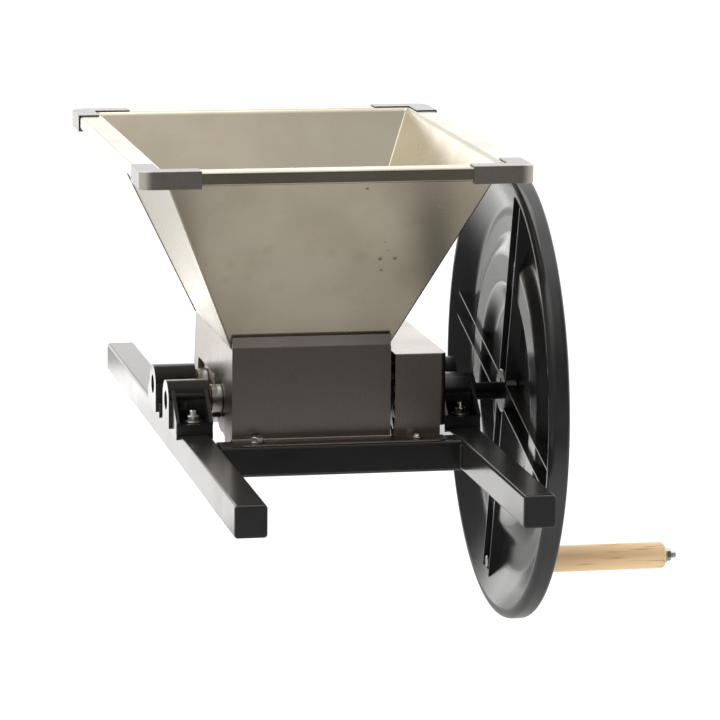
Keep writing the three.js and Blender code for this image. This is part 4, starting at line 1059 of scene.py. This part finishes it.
c = (-AXIS_Y, AXIS_Z)
o = lathe("x", fillet([(HUB_END - 0.7, 4.4, 0.2), (HUB_END - 0.7, 16, 0.6), (HUB_END + 1.8, 16, 0.6), (HUB_END + 1.8, 4.4, 0.2)], 3), 96, c, "washer")
piece(o, "flywheel_washer_pressed", M["zinc"], "drive", "zinc", "flywheel_washer")
top = HUB_END + 7.4
rule = hexed(13, HUB_END + 2.1, top, 0.9, 0.0)
sec = [(HUB_END - 25, 0.01, None), (HUB_END - 25, 3.0, None), (HUB_END - 24, 3.9, None), (HUB_END + 2.0, 3.9, None), (HUB_END + 2.1, 6.2, None), (HUB_END + 2.3, 1, rule)]
sec += [(top - 1.3 + 1.3 * k / 8, 1, rule) for k in range(9)] + [(top, 5.2, None), (top - 0.35, 4.6, None), (top - 0.4, 0.01, None)]
o = spun_parts("x", c, sec, "bolt", 96)
piece(o, "flywheel_bolt_hex", M["zinc"], "drive", "zinc", "flywheel_bolt")

# ---------------------------------------------------------------- crank grip
c = (GRIP_Y, GRIP_Z)
rule = hexed(13, 368.6, 374.0, 0.9, 0.4, lower=True)
sec = [(368.6, 0.01, None), (368.9, 4.6, None), (368.6, 5.2, None)]
sec += [(368.6 + 1.3 * k / 8, 1, rule) for k in range(9)] + [(374.0, 1, rule), (374.0, 4.0, None), (590, 4.0, None)]
sec += thread_sections(4.0, 1.25, 591.0, 600.5)
o = spun_parts("x", c, sec, "spindle", 72)
piece(o, "grip_spindle_bolt", M["zinc"], "drive", "zinc", "grip_spindle")

gr = 15.85
prof = [(GRIP_X0, 4.6), (GRIP_X0, gr - 1.6)] + [(GRIP_X0 + 1.5 - 1.5 * math.cos(math.radians(a)), gr - 1.5 + 1.5 * math.sin(math.radians(a))) for a in (30, 60, 90)]
prof += [(GRIP_X0 + 2 + (GRIP_X1 - 7.5 - GRIP_X0 - 2) * k / 24, gr - 0.10 * math.sin(math.pi * k / 24) * 0.6) for k in range(0, 25)]
prof += [(GRIP_X1 - 6.5 + 6.3 * math.sin(math.radians(a)), gr - 5.6 + 5.6 * math.cos(math.radians(a))) for a in (10, 22, 34, 46, 58, 70, 82)]
prof += [(GRIP_X1, gr - 6.0), (GRIP_X1, 5.4), (GRIP_X1 - 0.6, 4.6)]
o = lathe("x", prof, 96, c, "grip")
piece(o, "grip_turned", M["grip_wood"], "grip", "grip_wood", "grip", sharp=45)

o = lathe("x", fillet([(GRIP_X1 + 0.4, 4.4, 0.2), (GRIP_X1 + 0.4, 9.5, 0.4), (GRIP_X1 + 1.9, 9.5, 0.4), (GRIP_X1 + 1.9, 4.4, 0.2)], 3), 80, c, "washer")
piece(o, "grip_washer_pressed", M["zinc"], "drive", "zinc", "grip_washer")
base, top = GRIP_X1 + 2.2, GRIP_X1 + 7.6
rule = hexed(13, base, top, 0.85, 0.2, lower=True)
sec = [(base, 4.05, None), (base, 5.2, None)] + [(base + 1.2 * k / 8, 1, rule) for k in range(9)]
sec += [(top - 1.2 + 1.2 * k / 8, 1, rule) for k in range(9)] + [(top, 4.7, None), (top - 0.5, 4.05, None)]
o = spun_parts("x", c, sec, "nut", 96)
piece(o, "grip_nut_hex", M["zinc"], "drive", "zinc", "grip_nut")


# ---------------------------------------------------------------- stage: floor, light, camera
FLOOR_Z = -0.2003
bm = bmesh.new()
bmesh.ops.create_grid(bm, x_segments=1, y_segments=1, size=30)
bmesh.ops.translate(bm, verts=bm.verts, vec=(0.2, 4.0, FLOOR_Z))
me = bpy.data.meshes.new("floor")
bm.to_mesh(me)
bm.free()
floor = bpy.data.objects.new("floor", me)
scene.collection.objects.link(floor)
fm = Mat("pale_floor")
P = fm.node("ShaderNodeNewGeometry").outputs["Position"]
pos = fm.xyz(P)
lp = fm.node("ShaderNodeLightPath")
fm.set(Base_Color=fm.mix(fm.range(fm.noise(3, 3, 0.5, co=P), 0.3, 0.7, 0, 1), (0.86, 0.86, 0.86), (0.89, 0.89, 0.885)), Roughness=0.75)
fm.set(Emission_Color=(1.0, 0.995, 0.985), Emission_Strength=0.42)
glow = fm.node("ShaderNodeEmission")
steps = [fm.range(pos[1], -1.65, -1.40, 0.08, 0.02, True), fm.range(pos[1], -1.40, -0.46, 0.0, 0.90, True),
         fm.range(pos[1], -0.50, -0.20, 0.0, -0.30, True), fm.range(pos[1], -2.7, -1.9, 0.13, 0.0, True)]
lift = steps[0]
for st in steps[1:]:
    lift = fm.math("ADD", lift, st)
fm.link(lift, glow.inputs["Strength"])
glow.inputs["Color"].default_value = (1.0, 0.99, 0.975, 1)
# behind the machine the sheen shows the studio's bright back through the floor, strongest in a broad stripe
clear = fm.node("ShaderNodeBsdfTransparent")
stripe = fm.math("ADD", fm.range(pos[1], 0.36, 0.50, 0.25, 0.66, True), fm.range(pos[1], 1.18, 1.40, 0.0, 0.19, True))
dim = fm.math("MULTIPLY", fm.range(pos[1], 1.50, 1.62, 0.0, 0.57, True), fm.range(pos[0], -0.52, -0.34, 0.0, 1.0, True))
stripe = fm.math("SUBTRACT", stripe, dim)
fm.link(fm.mix(stripe, (0, 0, 0), (1, 1, 1)), clear.inputs["Color"])
near = fm.node("ShaderNodeMixShader")
fm.link(fm.range(pos[1], -0.06, 0.06, 0, 1, True), near.inputs[0])
fm.link(glow.outputs[0], near.inputs[1])
fm.link(clear.outputs[0], near.inputs[2])
# seen directly the floor is evenly lit, so the machine leaves hardly any shadow
even = fm.node("ShaderNodeEmission")
even.inputs["Color"].default_value = (1, 1, 1, 1)
even.inputs["Strength"].default_value = 1.12
seen = fm.node("ShaderNodeMixShader")
fm.link(fm.math("MULTIPLY", lp.outputs["Is Camera Ray"], 0.88), seen.inputs[0])
fm.link(fm.p.outputs[0], seen.inputs[1])
fm.link(even.outputs[0], seen.inputs[2])
ms = fm.node("ShaderNodeMixShader")
fm.link(lp.outputs["Is Glossy Ray"], ms.inputs[0])
fm.link(seen.outputs[0], ms.inputs[1])
fm.link(near.outputs[0], ms.inputs[2])
out = next(n for n in fm.t.nodes if n.type == "OUTPUT_MATERIAL")
fm.link(ms.outputs[0], out.inputs["Surface"])
floor.data.materials.append(fm.m)

world = bpy.data.worlds.new("studio")
scene.world = world
world.use_nodes = True
wt = world.node_tree
for n in list(wt.nodes):
    wt.nodes.remove(n)


def wn(kind, **kw):
    n = wt.nodes.new(kind)
    for k, v in kw.items():
        setattr(n, k, v)
    return n


tc = wn("ShaderNodeTexCoord")
sep = wn("ShaderNodeSeparateXYZ")
wt.links.new(tc.outputs["Generated"], sep.inputs[0])


def wrange(x, a0, a1, b0, b1):
    n = wn("ShaderNodeMapRange", interpolation_type="SMOOTHSTEP")
    for k, v in (("From Min", a0), ("From Max", a1), ("To Min", b0), ("To Max", b1)):
        n.inputs[k].default_value = v
    wt.links.new(x, n.inputs["Value"])
    return n.outputs["Result"]


def wmath(op, a, b):
    n = wn("ShaderNodeMath", operation=op)
    for k, v in enumerate((a, b)):
        if isinstance(v, (int, float)):
            n.inputs[k].default_value = v
        else:
            wt.links.new(v, n.inputs[k])
    return n.outputs[0]


X, Y, Z = sep.outputs["X"], sep.outputs["Y"], sep.outputs["Z"]
back = wmath("MULTIPLY", wrange(Y, -0.70, 0.55, 0.07, 2.9), wrange(X, -0.66, -0.40, 0.05, 1.0))   # bright behind, dim in front and at the left
back = wmath("MULTIPLY", back, wmath("MULTIPLY", wrange(Z, -0.03, 0.03, 1.0, 1.05), wrange(Z, 0.08, 0.17, 1.0, 0.45)))
top = wmath("MULTIPLY", wrange(Z, 0.35, 0.9, 0.0, 1.62), wmath("SUBTRACT", 1.0, wmath("MULTIPLY", wrange(X, 0.04, 0.40, 0.0, 0.85), wrange(Y, -0.2, -0.5, 0.0, 1.0))))
strength = wmath("MAXIMUM", back, top)
strength = wmath("ADD", strength, wmath("MULTIPLY", wrange(X, 0.2, -0.95, 0.0, 0.6), wrange(Z, 0.05, 0.45, 0.0, 1.0)))
bgn = wn("ShaderNodeBackground")
bgn.inputs["Color"].default_value = (1.0, 0.992, 0.98, 1)
wt.links.new(strength, bgn.inputs["Strength"])
wo = wn("ShaderNodeOutputWorld")
wt.links.new(bgn.outputs[0], wo.inputs["Surface"])


def area(name, loc, target, size, power, color=(1, 1, 1)):
    l = bpy.data.lights.new(name, "AREA")
    l.shape, l.size, l.size_y, l.energy, l.color = "RECTANGLE", size[0], size[1], power, color
    o = bpy.data.objects.new(name, l)
    scene.collection.objects.link(o)
    o.location = loc
    o.rotation_mode = "QUATERNION"
    o.rotation_quaternion = (Vector(target) - Vector(loc)).to_track_quat("-Z", "Y")
    o.visible_camera = False
    return o


area("soft_top", (-0.6, 0.6, 2.6), (0.15, 0, 0.2), (2.4, 2.4), 34, (1.0, 0.99, 0.975))

scene.view_settings.view_transform = "Standard"
scene.view_settings.look = "None"
scene.view_settings.exposure = 0.0
scene.view_settings.gamma = 1.0

cam_data = bpy.data.cameras.new("camera")
cam = bpy.data.objects.new("camera", cam_data)
scene.collection.objects.link(cam)
scene.camera = cam
cam_data.sensor_width = 36.0
cam_data.sensor_fit = "AUTO"
cam_data.lens = 36.0 * 4107.922254757812 / 720.0
cam_data.clip_start, cam_data.clip_end = 0.05, 200.0
rx, ry, rz = 0.18266575883937192, -0.19947383296343824, 0.009320962431245534
Rx = Matrix(((1, 0, 0), (0, math.cos(rx), -math.sin(rx)), (0, math.sin(rx), math.cos(rx))))
Ry = Matrix(((math.cos(ry), 0, math.sin(ry)), (0, 1, 0), (-math.sin(ry), 0, math.cos(ry))))
Rz = Matrix(((math.cos(rz), -math.sin(rz), 0), (math.sin(rz), math.cos(rz), 0), (0, 0, 1)))
R = Rz @ Rx @ Ry @ Matrix(((1, 0, 0), (0, 0, -1), (0, 1, 0)))   # rows: right, down, forward
axes = Matrix((R[0], -R[1], -R[2])).transposed()
cam.rotation_mode = "QUATERNION"
cam.rotation_quaternion = axes.to_quaternion()
cam.location = Vector((-701.4640770906691 - 17.5, -4120.242310423182 - 483.5, 962.9213257073964)) * S
